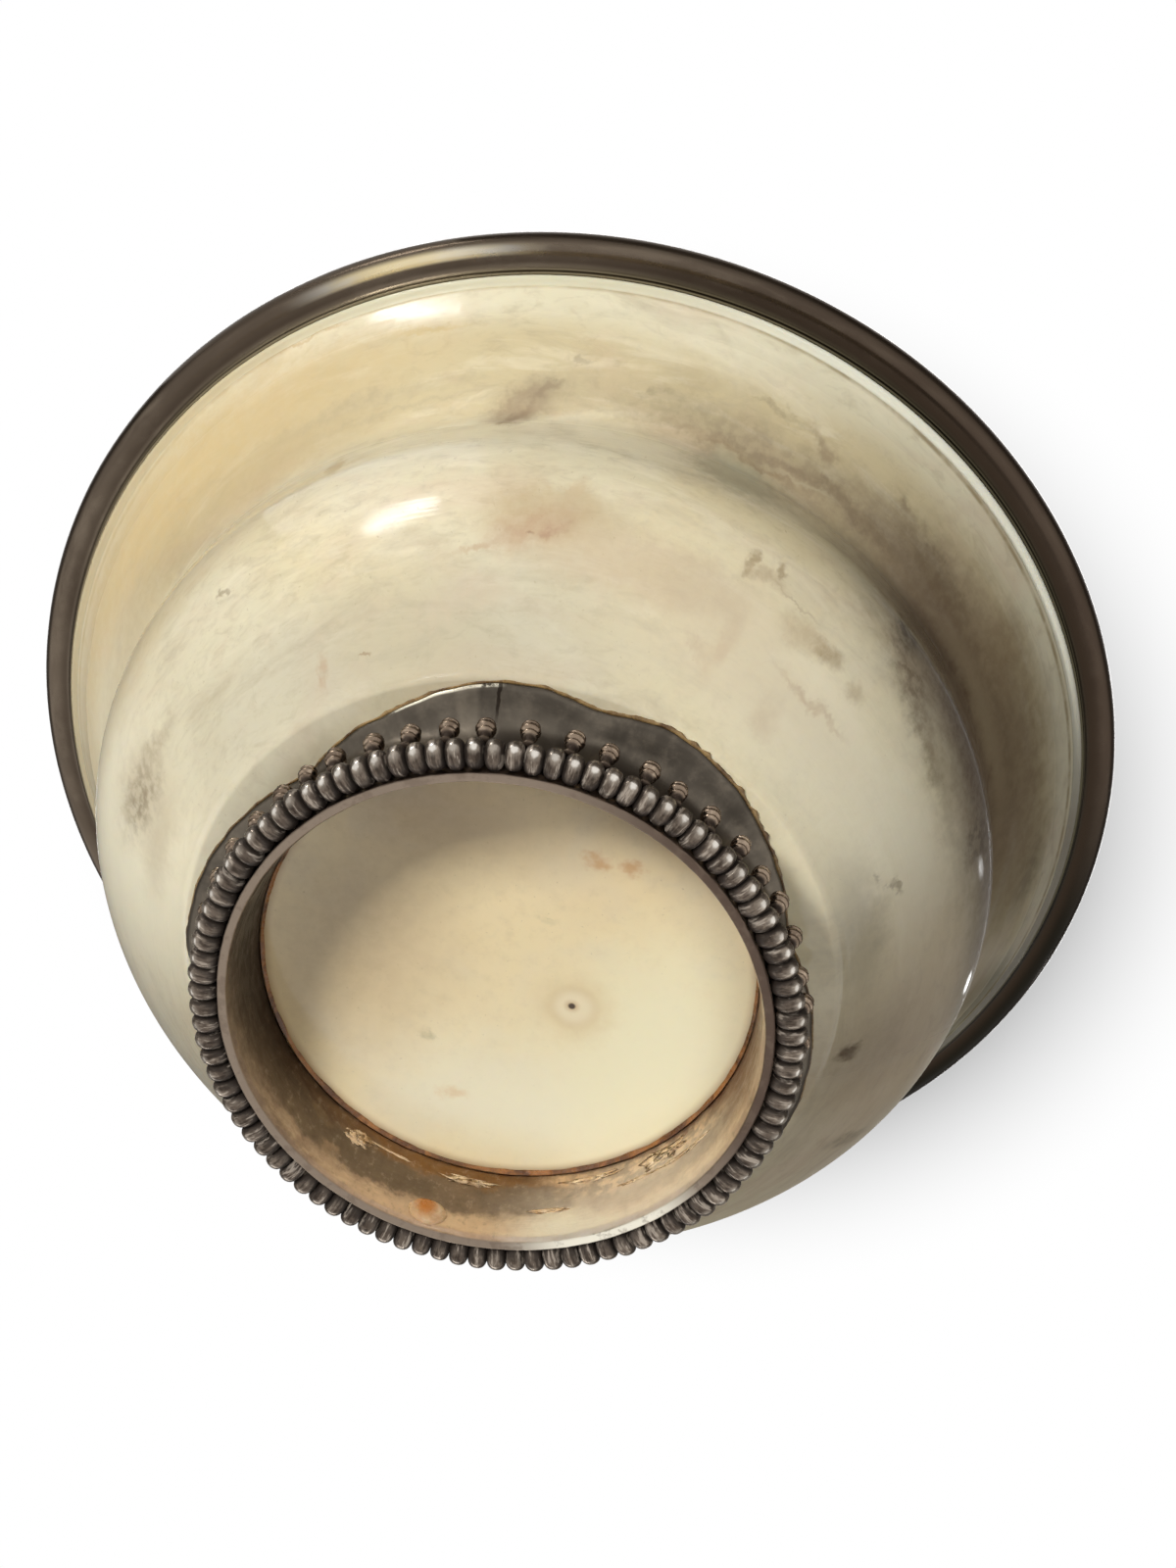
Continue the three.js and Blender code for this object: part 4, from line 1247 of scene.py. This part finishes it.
def makeCollar():
    shape = bmesh.new()
    edgeLayer = shape.verts.layers.float.new("edge")
    seamLayer = shape.verts.layers.float.new("gap")
    columns = []
    for column in range(collar["columns"]):
        degrees = 360 * column / collar["columns"] - 180
        angle = math.radians(degrees)
        row = collarRow(degrees)
        fromSeam = (degrees - collar["seamAt"]) % 360
        lap = collar["lap"] * max(0, 1 - fromSeam / collar["lapLength"])
        seam = max(0, 1 - min(fromSeam, 360 - fromSeam) / collar["seamHalf"])
        ring = []
        # up the side that shows, which the lap raises, and back down the inside
        for side in (0, 1):
            order = range(len(row)) if side == 0 else reversed(range(len(row)))
            for number in order:
                share = number / (len(row) - 1)
                along = row[min(number + 1, len(row) - 1)] - row[max(number - 1, 0)]
                across = Vector((-along.y, along.x)).normalized()
                dent = ringNoise(angle, 8, share * 4)
                raised = collar["thickness"] * (1 - 0.35 * share) if side else -lap - 0.02
                raised += collar["dents"] * dent * min(1, share * 3)
                point = row[number] + across * raised
                vert = shape.verts.new(onCup(point.x, angle, point.y))
                vert[edgeLayer] = share
                vert[seamLayer] = seam * 0.55
                ring.append(vert)
        columns.append(ring)
    addBand(shape, columns)
    mesh = meshOf(shape, "footCollar", collarSilver())
    addPiece("footCollar", mesh, "silver", "foot_collar")


makeFootRing()
makeCollar()
print("foot: wall and collar")


# Glue and cement

glueLook = {"speck": (44, 24, 10), "heart": (172, 100, 22)}


# clear is how much light goes in; a heart is the deep-coloured middle of a drop
def glueFinish(name, pale, deep, clear, heart=None):
    material, tree = newMaterial(name)
    cup = placeOn(tree)
    broad = cloud(tree, cup["Place"], 0.35, 4, 0.6, 0.8).outputs[0]
    small = cloud(tree, cup["Place"], 2.2, 4, 0.6).outputs[0]
    colour = mixTones(tree, ramp(tree, broad, 0.36, 0.64), tone(deep), tone(pale))
    colour = painted(tree, colour, ramp(tree, small, 0.5, 0.72), 0.4 - 2 * clear, glueLook["speck"])
    if heart is not None:
        offset = stretched(tree, vectorSums(tree, "SUBTRACT", cup["Place"], heart), (1, 1, 0.7))
        near = ramp(tree, lengthOf(tree, offset), 1.5, 0.6)
        colour = painted(tree, colour, near, 0.95, glueLook["heart"])
    shader = tree.nodes["Principled BSDF"]
    feed(tree, shader.inputs["Base Color"], colour)
    feed(tree, shader.inputs["Roughness"], mixNumbers(tree, small, 0.12, 0.45))
    feed(tree, shader.inputs["Normal"], bumped(tree, broad, 0.25, 0.5))
    shader.inputs["Subsurface Weight"].default_value = clear
    shader.inputs["Subsurface Radius"].default_value = (1.0, 0.45, 0.15)
    shader.inputs["Subsurface Scale"].default_value = 0.001
    return material


plateGlue = {
    "outline": [(24.85, 9.65), (24.78, 10.06), (24.45, 10.1)], "round": 0.12,
    "pale": (150, 100, 54), "deep": (86, 54, 28), "clear": 0.1,
    "steps": 240, "unevenness": 0.4, "patternScale": 420, "seed": 2,
}

footCement = {
    "outline": [(26.35, 7.6), (27.25, 7.9), (27.3, 8.5), (27.25, 8.9), (26.25, 8.9)], "round": 0.15,
    "pale": (120, 88, 50), "deep": (78, 52, 28), "clear": 0.0,
    "steps": 160, "unevenness": 0.2, "patternScale": 400, "seed": 6,
}


def makeCementRing(name, finishName, ring, node):
    finish = glueFinish(finishName, ring["pale"], ring["deep"], ring["clear"])
    mesh = turnedMesh(name, softened(ring["outline"], ring["round"]), finish, ring["steps"],
                      ring["unevenness"], ring["patternScale"], ring["seed"])
    addPiece(name, mesh, "cement", node)


# Cement pressed out along the collar's edge: full at one azimuth, fainter at a second
edgeCement = {
    "columns": 480, "sides": 8, "least": 0.09, "most": 0.26, "crumbs": 0.1, "crumbsFrom": 0.45,
    "fullAt": -62, "fullWidth": 24, "secondAt": -125, "secondWidth": 9, "secondShare": 0.4,
    "drop": 0.1, "breadth": 1.3, "height": 0.6, "pale": (150, 122, 78), "deep": (84, 60, 34),
}


def pressedOut(degrees):
    first = math.exp(-(((degrees - edgeCement["fullAt"]) / edgeCement["fullWidth"]) ** 2))
    second = math.exp(-(((degrees - edgeCement["secondAt"]) / edgeCement["secondWidth"]) ** 2))
    ragged = 0.5 + ringNoise(math.radians(degrees), 40, 9.3)
    size = edgeCement["least"]
    size += edgeCement["most"] * (first + edgeCement["secondShare"] * second) * max(0, ragged)
    return size + edgeCement["crumbs"] * max(0, ragged - edgeCement["crumbsFrom"])


def makeEdgeCement():
    shape = bmesh.new()
    columns = []
    for column in range(edgeCement["columns"]):
        degrees = 360 * column / edgeCement["columns"] - 180
        radius = collar["footRadius"] + collarReach(degrees)
        size = pressedOut(degrees)
        ring = []
        for side in range(edgeCement["sides"]):
            lean = math.tau * side / edgeCement["sides"]
            out = radius + size * edgeCement["breadth"] * math.cos(lean)
            up = underside(radius) - edgeCement["drop"] + size * edgeCement["height"] * math.sin(lean)
            ring.append(shape.verts.new(onCup(out, math.radians(degrees), up)))
        columns.append(ring)
    addBand(shape, columns)
    finish = glueFinish("edgePitch", edgeCement["pale"], edgeCement["deep"], 0.0)
    addPiece("edgeCement", meshOf(shape, "edgeCement", finish), "cement")


# Flakes of flux and a drop of glue on the inside of the foot wall: where, how broad and high,
# how thick, and how ragged
wallSpots = [
    dict(turn=30, height=5.95, size=(7.6, 0.6), depth=0.12, ragged=0.6, kind="flux"),
    dict(turn=45, height=6.1, size=(4.0, 0.5), depth=0.1, ragged=0.6, kind="flux"),
    dict(turn=38, height=7.8, size=(5.0, 2.2), depth=0.12, ragged=0.7, kind="flux"),
    dict(turn=57, height=8.4, size=(6.0, 0.8), depth=0.14, ragged=0.6, kind="flux"),
    dict(turn=86, height=7.95, size=(4.8, 0.9), depth=0.16, ragged=0.8, kind="flux"),
    dict(turn=105, height=8.2, size=(6.0, 0.32), depth=0.12, ragged=0.5, kind="flux"),
    dict(turn=112.5, height=7.4, size=(3.0, 1.7), depth=0.16, ragged=0.75, kind="flux"),
    dict(turn=66, height=4.5, size=(3.6, 0.6), depth=0.18, ragged=0.7, kind="flux"),
    dict(turn=92.8, height=2.3, size=(4.0, 3.3), depth=0.6, ragged=0.05, kind="drop"),
]


wallSpotLook = {
    "fluxPale": (232, 204, 162), "fluxDeep": (196, 160, 118), "fluxClear": 0.05,
    "dropPale": (206, 176, 140), "dropDeep": (184, 148, 108), "dropClear": 0.2,
    "heartTurn": 93.4, "heartHeight": 2.9, "seed": 5,
}


def makeWallSpots():
    look = wallSpotLook
    flux = glueFinish("driedFlux", look["fluxPale"], look["fluxDeep"], look["fluxClear"])
    heartRadius = footInner(look["heartHeight"])
    heartAngle = math.radians(look["heartTurn"])
    heart = (heartRadius * math.cos(heartAngle), heartRadius * math.sin(heartAngle), look["heartHeight"])
    drop = glueFinish("amberGlue", look["dropPale"], look["dropDeep"], look["dropClear"], heart)
    noise.seed_set(look["seed"])  # noise_vector would start from the clock
    for kind, name, finish in (("flux", "fluxFlakes", flux), ("drop", "glueDrop", drop)):
        shape = bmesh.new()
        for seed, spot in enumerate(wallSpots):
            if spot["kind"] != kind:
                continue
            made = bmesh.ops.create_icosphere(shape, subdivisions=4, radius=1.0)
            for vert in made["verts"]:
                shift = noise.noise_vector(vert.co * 1.9 + Vector((seed * 7.1, 0, 0)))
                fine = noise.noise_vector(vert.co * 5.5 + Vector((0, seed * 3.3, 0)))
                place = vert.co + (shift + fine * 0.7) * spot["ragged"]
                height = spot["height"] + place.y * spot["size"][1] / 2
                wallRadius = footInner(height)
                angle = math.radians(spot["turn"]) + place.x * spot["size"][0] / 2 / wallRadius
                # the back of a spot is flat and sinks a little into the wall
                radius = wallRadius + 0.04 - max(-0.3, vert.co.z) * spot["depth"]
                vert.co = onCup(radius, angle, height)
        for face in shape.faces:
            face.smooth = True
        addPiece(name, meshOf(shape, name, finish), "cement")


makeCementRing("plateGlue", "hideGlue", plateGlue, "plate_glue")
makeCementRing("footCement", "footPitch", footCement, "foot_cement")
makeEdgeCement()
makeWallSpots()
print("glue, cement and flakes")


# Rim: a sheet folded over the bone, and a roll soldered outside it

rimLook = {
    **silverLook,
    "dark": (86, 75, 64), "mid": (104, 92, 79), "bright": (132, 119, 103), "rub": 0.35,
    "right": (64, 51, 42), "far": (24, 24, 19), "shadedCove": (40, 31, 23), "brink": (56, 47, 38),
    "groove": (58, 47, 37), "rubbed": (236, 231, 220), "warmHighlight": (234, 216, 172),
    "sheetEdge": (136, 124, 96), "shadedSheetEdge": (84, 80, 62),
    "pull": (0.1, 0.1, 1.2), "broadScale": 0.4, "smallScale": 1.2, "dull": 0.36, "smooth": 0.24,
    "relief": 0.03,
}


def rimSilver():
    material, tree, cup, colour, tarnish = silverFinish("rimSilver", rimLook)
    turn, radius = cup["Turn"], cup["Radius"]
    # painted shade: darker from the front towards the right and darkest at the back right, and darker in
    # the cove between roll and bone on that side
    right = rising(tree, turn, -0.3, 0.6)
    colour = painted(tree, colour, right, 0.7, rimLook["right"])
    far = times(tree, ramp(tree, turn, 1.25, 1.75), ramp(tree, turn, 2.9, 2.4))
    colour = painted(tree, colour, far, 0.92, rimLook["far"])
    shadedCove = times(tree, ramp(tree, radius, 56.2, 54.4), rising(tree, turn, -0.45, 0.1))
    colour = painted(tree, colour, shadedCove, 0.8, rimLook["shadedCove"])
    colour = painted(tree, colour, ramp(tree, radius, 56.3, 56.8), 0.6, rimLook["brink"])
    groove = times(tree, ramp(tree, radius, 54.2, 54.6), ramp(tree, radius, 55.7, 54.6))
    colour = painted(tree, colour, groove, 0.55, rimLook["groove"])
    # a painted highlight, the window's reflection, along a length of the roll left of the front
    fromHighlight = sums(tree, "ABSOLUTE", sums(tree, "ADD", turn, 0.53))
    outer = times(tree, ramp(tree, radius, 55.1, 55.5), ramp(tree, radius, 56.7, 56.1))
    rubbed = times(tree, ramp(tree, fromHighlight, 0.28, 0.03), 0.9, outer)
    warmth = ramp(tree, tarnish["broad"], 0.4, 0.6)
    bright = mixTones(tree, warmth, tone(rimLook["rubbed"]), tone(rimLook["warmHighlight"]))
    colour = mixTones(tree, rubbed, colour, bright)
    # the sheet's lower edge, in painted shade on the right
    low = times(tree, ramp(tree, cup["Height"], 56.5, 55.4), 0.75)
    edge = mixTones(tree, right, tone(rimLook["sheetEdge"]), tone(rimLook["shadedSheetEdge"]))
    colour = mixTones(tree, low, colour, edge)
    finishSilver(tree, rimLook, colour, tarnish, cup["Place"])
    return material


rimSheet = {
    "outline": [(53.9, 55.3), (53.9, 59.0), (49.5, 59.0), (48.45, 54.2), (48.95, 54.2),
                (50.0, 58.5), (53.4, 58.5), (53.4, 55.3)],
    "round": 0.25, "steps": 256, "unevenness": 0.1, "patternScale": 70, "seed": 11,
}

# Round outside and above, then down against the sheet, and filled with solder below
rimRoll = {
    "centre": (55.6, 57.95), "radius": 1.4, "from": -102, "to": 90, "points": 20,
    "over": ((54.9, 59.35), (54.3, 59.25), (53.97, 58.7), 5),
    "seat": [(53.85, 57.4), (53.85, 55.9), (53.9, 55.8), (53.96, 55.84)],
    "solder": ((53.96, 55.84), (54.1, 56.35), (54.6, 56.55), (55.25, 56.58), 6),
    "steps": 256, "unevenness": 0.08, "patternScale": 60, "seed": 12,
}


def rollOutline():
    centre = Vector(rimRoll["centre"])
    swing = rimRoll["to"] - rimRoll["from"]
    points = []
    for number in range(rimRoll["points"]):
        lean = math.radians(rimRoll["from"] + swing * number / (rimRoll["points"] - 1))
        points.append(centre + rimRoll["radius"] * Vector((math.cos(lean), math.sin(lean))))
    points += curved(points[-1], *rimRoll["over"])
    points += [Vector(point) for point in rimRoll["seat"]]
    return points + curved(*rimRoll["solder"])[:-1]


def makeRim():
    finish = rimSilver()
    mesh = turnedMesh("rimChannel", softened(rimSheet["outline"], rimSheet["round"]), finish,
                      rimSheet["steps"], rimSheet["unevenness"], rimSheet["patternScale"], rimSheet["seed"])
    addPiece("rimChannel", mesh, "rim_silver", "rim_channel")
    mesh = turnedMesh("rimRoll", rollOutline(), finish, rimRoll["steps"], rimRoll["unevenness"],
                      rimRoll["patternScale"], rimRoll["seed"])
    addPiece("rimRoll", mesh, "rim_silver", "rim_roll")


makeRim()
print("rim: folded sheet and roll")


# Stage: a pale floor under the foot, and a pale card that the mouth lies on, seen from below

stage = {
    "floorRadius": 3.0, "floorGap": 0.0002, "floorTone": (250, 250, 250), "floorFade": (0.12, 0.6),
    "cardRadius": 1.2, "cardGap": 0.0004, "shadeCentre": (0.010, 0.006, 0), "shadeFrom": 0.0466,
    "shadeTo": 0.066, "shade": 0.58,
}


def addStage(name, mesh, *hiddenFrom):
    holder = bpy.data.objects.new(name, mesh)
    scene.collection.objects.link(holder)
    for rays in hiddenFrom:
        setattr(holder, "visible_" + rays, False)


def addDisc(name, radius, height, facesDown, finish):
    shape = bmesh.new()
    bmesh.ops.create_circle(shape, cap_ends=True, cap_tris=True, segments=64, radius=radius)
    for vert in shape.verts:
        vert.co.z = height
    shape.normal_update()
    shape.faces.ensure_lookup_table()
    upward = shape.faces[0].normal.z > 0
    if upward == facesDown:
        bmesh.ops.reverse_faces(shape, faces=shape.faces)
    addStage(name, meshOf(shape, name, finish), "diffuse", "glossy", "transmission", "shadow")


# Lets a camera behind it look through, and also wherever hidden is 1
def oneSided(tree, shader, hidden):
    clear = addNode(tree, "ShaderNodeBsdfTransparent")
    side = tree.nodes.new("ShaderNodeNewGeometry").outputs["Backfacing"]
    share = sums(tree, "MAXIMUM", side, hidden)
    mix = addNode(tree, "ShaderNodeMixShader", share, shader, clear.outputs[0])
    end = tree.nodes["Material Output"]
    feed(tree, end.inputs["Surface"], mix.outputs[0])


# The floor shows the cup's shadow near the foot and fades out further away
def makeFloor():
    material, tree = newMaterial("paleFloor")
    place = tree.nodes.new("ShaderNodeTexCoord").outputs["Object"]
    paint = addNode(tree, "ShaderNodeBsdfDiffuse", tone(stage["floorTone"]))
    oneSided(tree, paint.outputs[0], ramp(tree, lengthOf(tree, place), *stage["floorFade"]))
    addDisc("floor", stage["floorRadius"], -stage["floorGap"], False, material)


# The card glows white, with the cup's soft shadow painted on it beside the mouth
def makeCard():
    material, tree = newMaterial("paleCard")
    place = tree.nodes.new("ShaderNodeTexCoord").outputs["Object"]
    offset = vectorSums(tree, "SUBTRACT", place, stage["shadeCentre"])
    radius = lengthOf(tree, stretched(tree, offset, (1, 1, 0)))
    near = addNode(tree, "ShaderNodeMapRange", radius, stage["shadeFrom"], stage["shadeTo"], 1.0, 0.0)
    grey = stage["shade"]
    shade = mixTones(tree, sums(tree, "POWER", near.outputs[0], 2.0), (1, 1, 1, 1), (grey, grey, grey, 1))
    glow = addNode(tree, "ShaderNodeEmission", shade, 1.0)
    oneSided(tree, glow.outputs[0], 0.0)
    addDisc("card", stage["cardRadius"], cadBox[1].z + stage["cardGap"], True, material)


# A dark ring level with the mouth, as a table round the cup would be; only the gloss sees it. It is open
# towards the window and carries two small glowing spots, painted reflections that show as glints on the
# belly
flag = {
    "inner": 0.0586, "outer": 20.0, "gap": 0.0002, "segments": 96, "openAt": 225, "openHalf": 17,
    "dark": (0.22, 0.2, 0.18, 1), "bright": (6, 6, 6, 1), "glintSpots": [(0.080, 0.001), (0.064, 0.022)],
    "spotEdge": (0.0024, 0.0014),
}


def makeFlag():
    material, tree = newMaterial("darkTable")
    place = tree.nodes.new("ShaderNodeTexCoord").outputs["Object"]
    colour = flag["dark"]
    for spot in flag["glintSpots"]:
        away = lengthOf(tree, vectorSums(tree, "SUBTRACT", place, (*spot, cadBox[1].z)))
        colour = mixTones(tree, ramp(tree, away, *flag["spotEdge"]), colour, flag["bright"])
    glow = addNode(tree, "ShaderNodeEmission", colour, 1.0)
    feed(tree, tree.nodes["Material Output"].inputs["Surface"], glow.outputs[0])
    shape = bmesh.new()
    rings = []
    for radius in (flag["inner"], flag["outer"]):
        angles = [math.tau * i / flag["segments"] for i in range(flag["segments"])]
        rings.append([shape.verts.new((radius * math.cos(angle), radius * math.sin(angle),
                                       cadBox[1].z + flag["gap"])) for angle in angles])
    for i in range(flag["segments"]):
        j = (i + 1) % flag["segments"]
        if abs(360 * (i + 0.5) / flag["segments"] - flag["openAt"]) > flag["openHalf"]:
            shape.faces.new((rings[0][i], rings[0][j], rings[1][j], rings[1][i]))
    addStage("flag", meshOf(shape, "flag", material), "camera", "diffuse", "shadow")


makeFloor()
makeCard()
makeFlag()


# Light: a small window at the left that the gloss shows, three soft lamps from below and
# the side, one from above and a faint one from behind

lampCentre = Vector((0, 0, 0.03))

lamps = [
    dict(name="window", way=(-0.71, -0.7, 0.13), far=0.6, size=(0.16, 0.065), watts=0.4, glossy=True,
         shape="ELLIPSE", roll=12),
    dict(name="key", way=(-0.585, -0.585, -0.56), far=1.0, size=(0.22, 0.22), watts=8.05, glossy=False),
    dict(name="front", way=(0.3, -0.5, -0.81), far=1.0, size=(0.4, 0.4), watts=3.1, glossy=False),
    dict(name="side", way=(-0.95, 0.28, -0.15), far=1.0, size=(0.5, 0.5), watts=0.8, glossy=False),
    dict(name="topLight", way=(0.1, 0.35, 0.93), far=1.5, size=(1.2, 1.2), watts=19, glossy=True),
    dict(name="backLight", way=(-0.1, 0.98, 0.18), far=1.2, size=(0.8, 0.8), watts=5.0, glossy=True),
]


def makeLamps():
    for lamp in lamps:
        light = bpy.data.lights.new(lamp["name"], "AREA")
        light.shape = lamp.get("shape", "RECTANGLE")
        light.size, light.size_y = lamp["size"]
        light.energy = lamp["watts"]
        holder = bpy.data.objects.new(lamp["name"], light)
        way = Vector(lamp["way"]).normalized()
        holder.location = lampCentre + way * lamp["far"]
        roll = Quaternion((0, 0, 1), math.radians(lamp.get("roll", 0)))
        holder.rotation_euler = (way.to_track_quat("Z", "Y") @ roll).to_euler()
        holder.visible_glossy = lamp["glossy"]
        holder.visible_camera = False
        scene.collection.objects.link(holder)


# White where it is seen, faint where it lights
world = {"ambient": 0.08, "tint": (1.0, 0.98, 0.95, 1.0)}


def makeWorld():
    room = bpy.data.worlds.new("studio")
    room.use_nodes = True
    scene.world = room
    tree = room.node_tree
    tree.nodes.clear()
    rays = tree.nodes.new("ShaderNodeLightPath").outputs
    seen = sums(tree, "MAXIMUM", rays["Is Camera Ray"], rays["Is Glossy Ray"])
    seen = sums(tree, "MAXIMUM", seen, rays["Is Transmission Ray"])
    soft = addNode(tree, "ShaderNodeBackground", world["tint"], world["ambient"])
    white = addNode(tree, "ShaderNodeBackground", (1, 1, 1, 1), 1.0)
    mix = addNode(tree, "ShaderNodeMixShader", seen, soft.outputs[0], white.outputs[0])
    end = tree.nodes.new("ShaderNodeOutputWorld")
    feed(tree, end.inputs["Surface"], mix.outputs[0])


# Camera: below and in front of the cup, as the photograph was taken; place and lens in millimetres
camera = {
    "place": (0, -306.65, -457.82), "yaw": 0.5493, "pitch": 58.7242, "roll": 14.9748,
    "lens": 130.19, "sensor": 36, "clip": (0.01, 20),
}


def makeCamera():
    yaw, pitch, roll = (math.radians(camera[name]) for name in ("yaw", "pitch", "roll"))
    ahead = Vector((math.sin(yaw) * math.cos(pitch), math.cos(yaw) * math.cos(pitch), math.sin(pitch)))
    level = Vector((math.cos(yaw), -math.sin(yaw), 0))
    upright = level.cross(ahead)
    right = math.cos(roll) * level + math.sin(roll) * upright
    up = -math.sin(roll) * level + math.cos(roll) * upright
    data = bpy.data.cameras.new("camera")
    data.lens = camera["lens"]
    data.sensor_width = camera["sensor"]
    data.clip_start, data.clip_end = camera["clip"]
    holder = bpy.data.objects.new("camera", data)
    turned = Matrix((right, up, -ahead)).transposed().to_4x4()
    holder.matrix_world = Matrix.Translation(Vector(camera["place"]) * millimetre) @ turned
    scene.collection.objects.link(holder)
    scene.camera = holder


makeLamps()
makeWorld()
makeCamera()
print("stage, lights and camera")
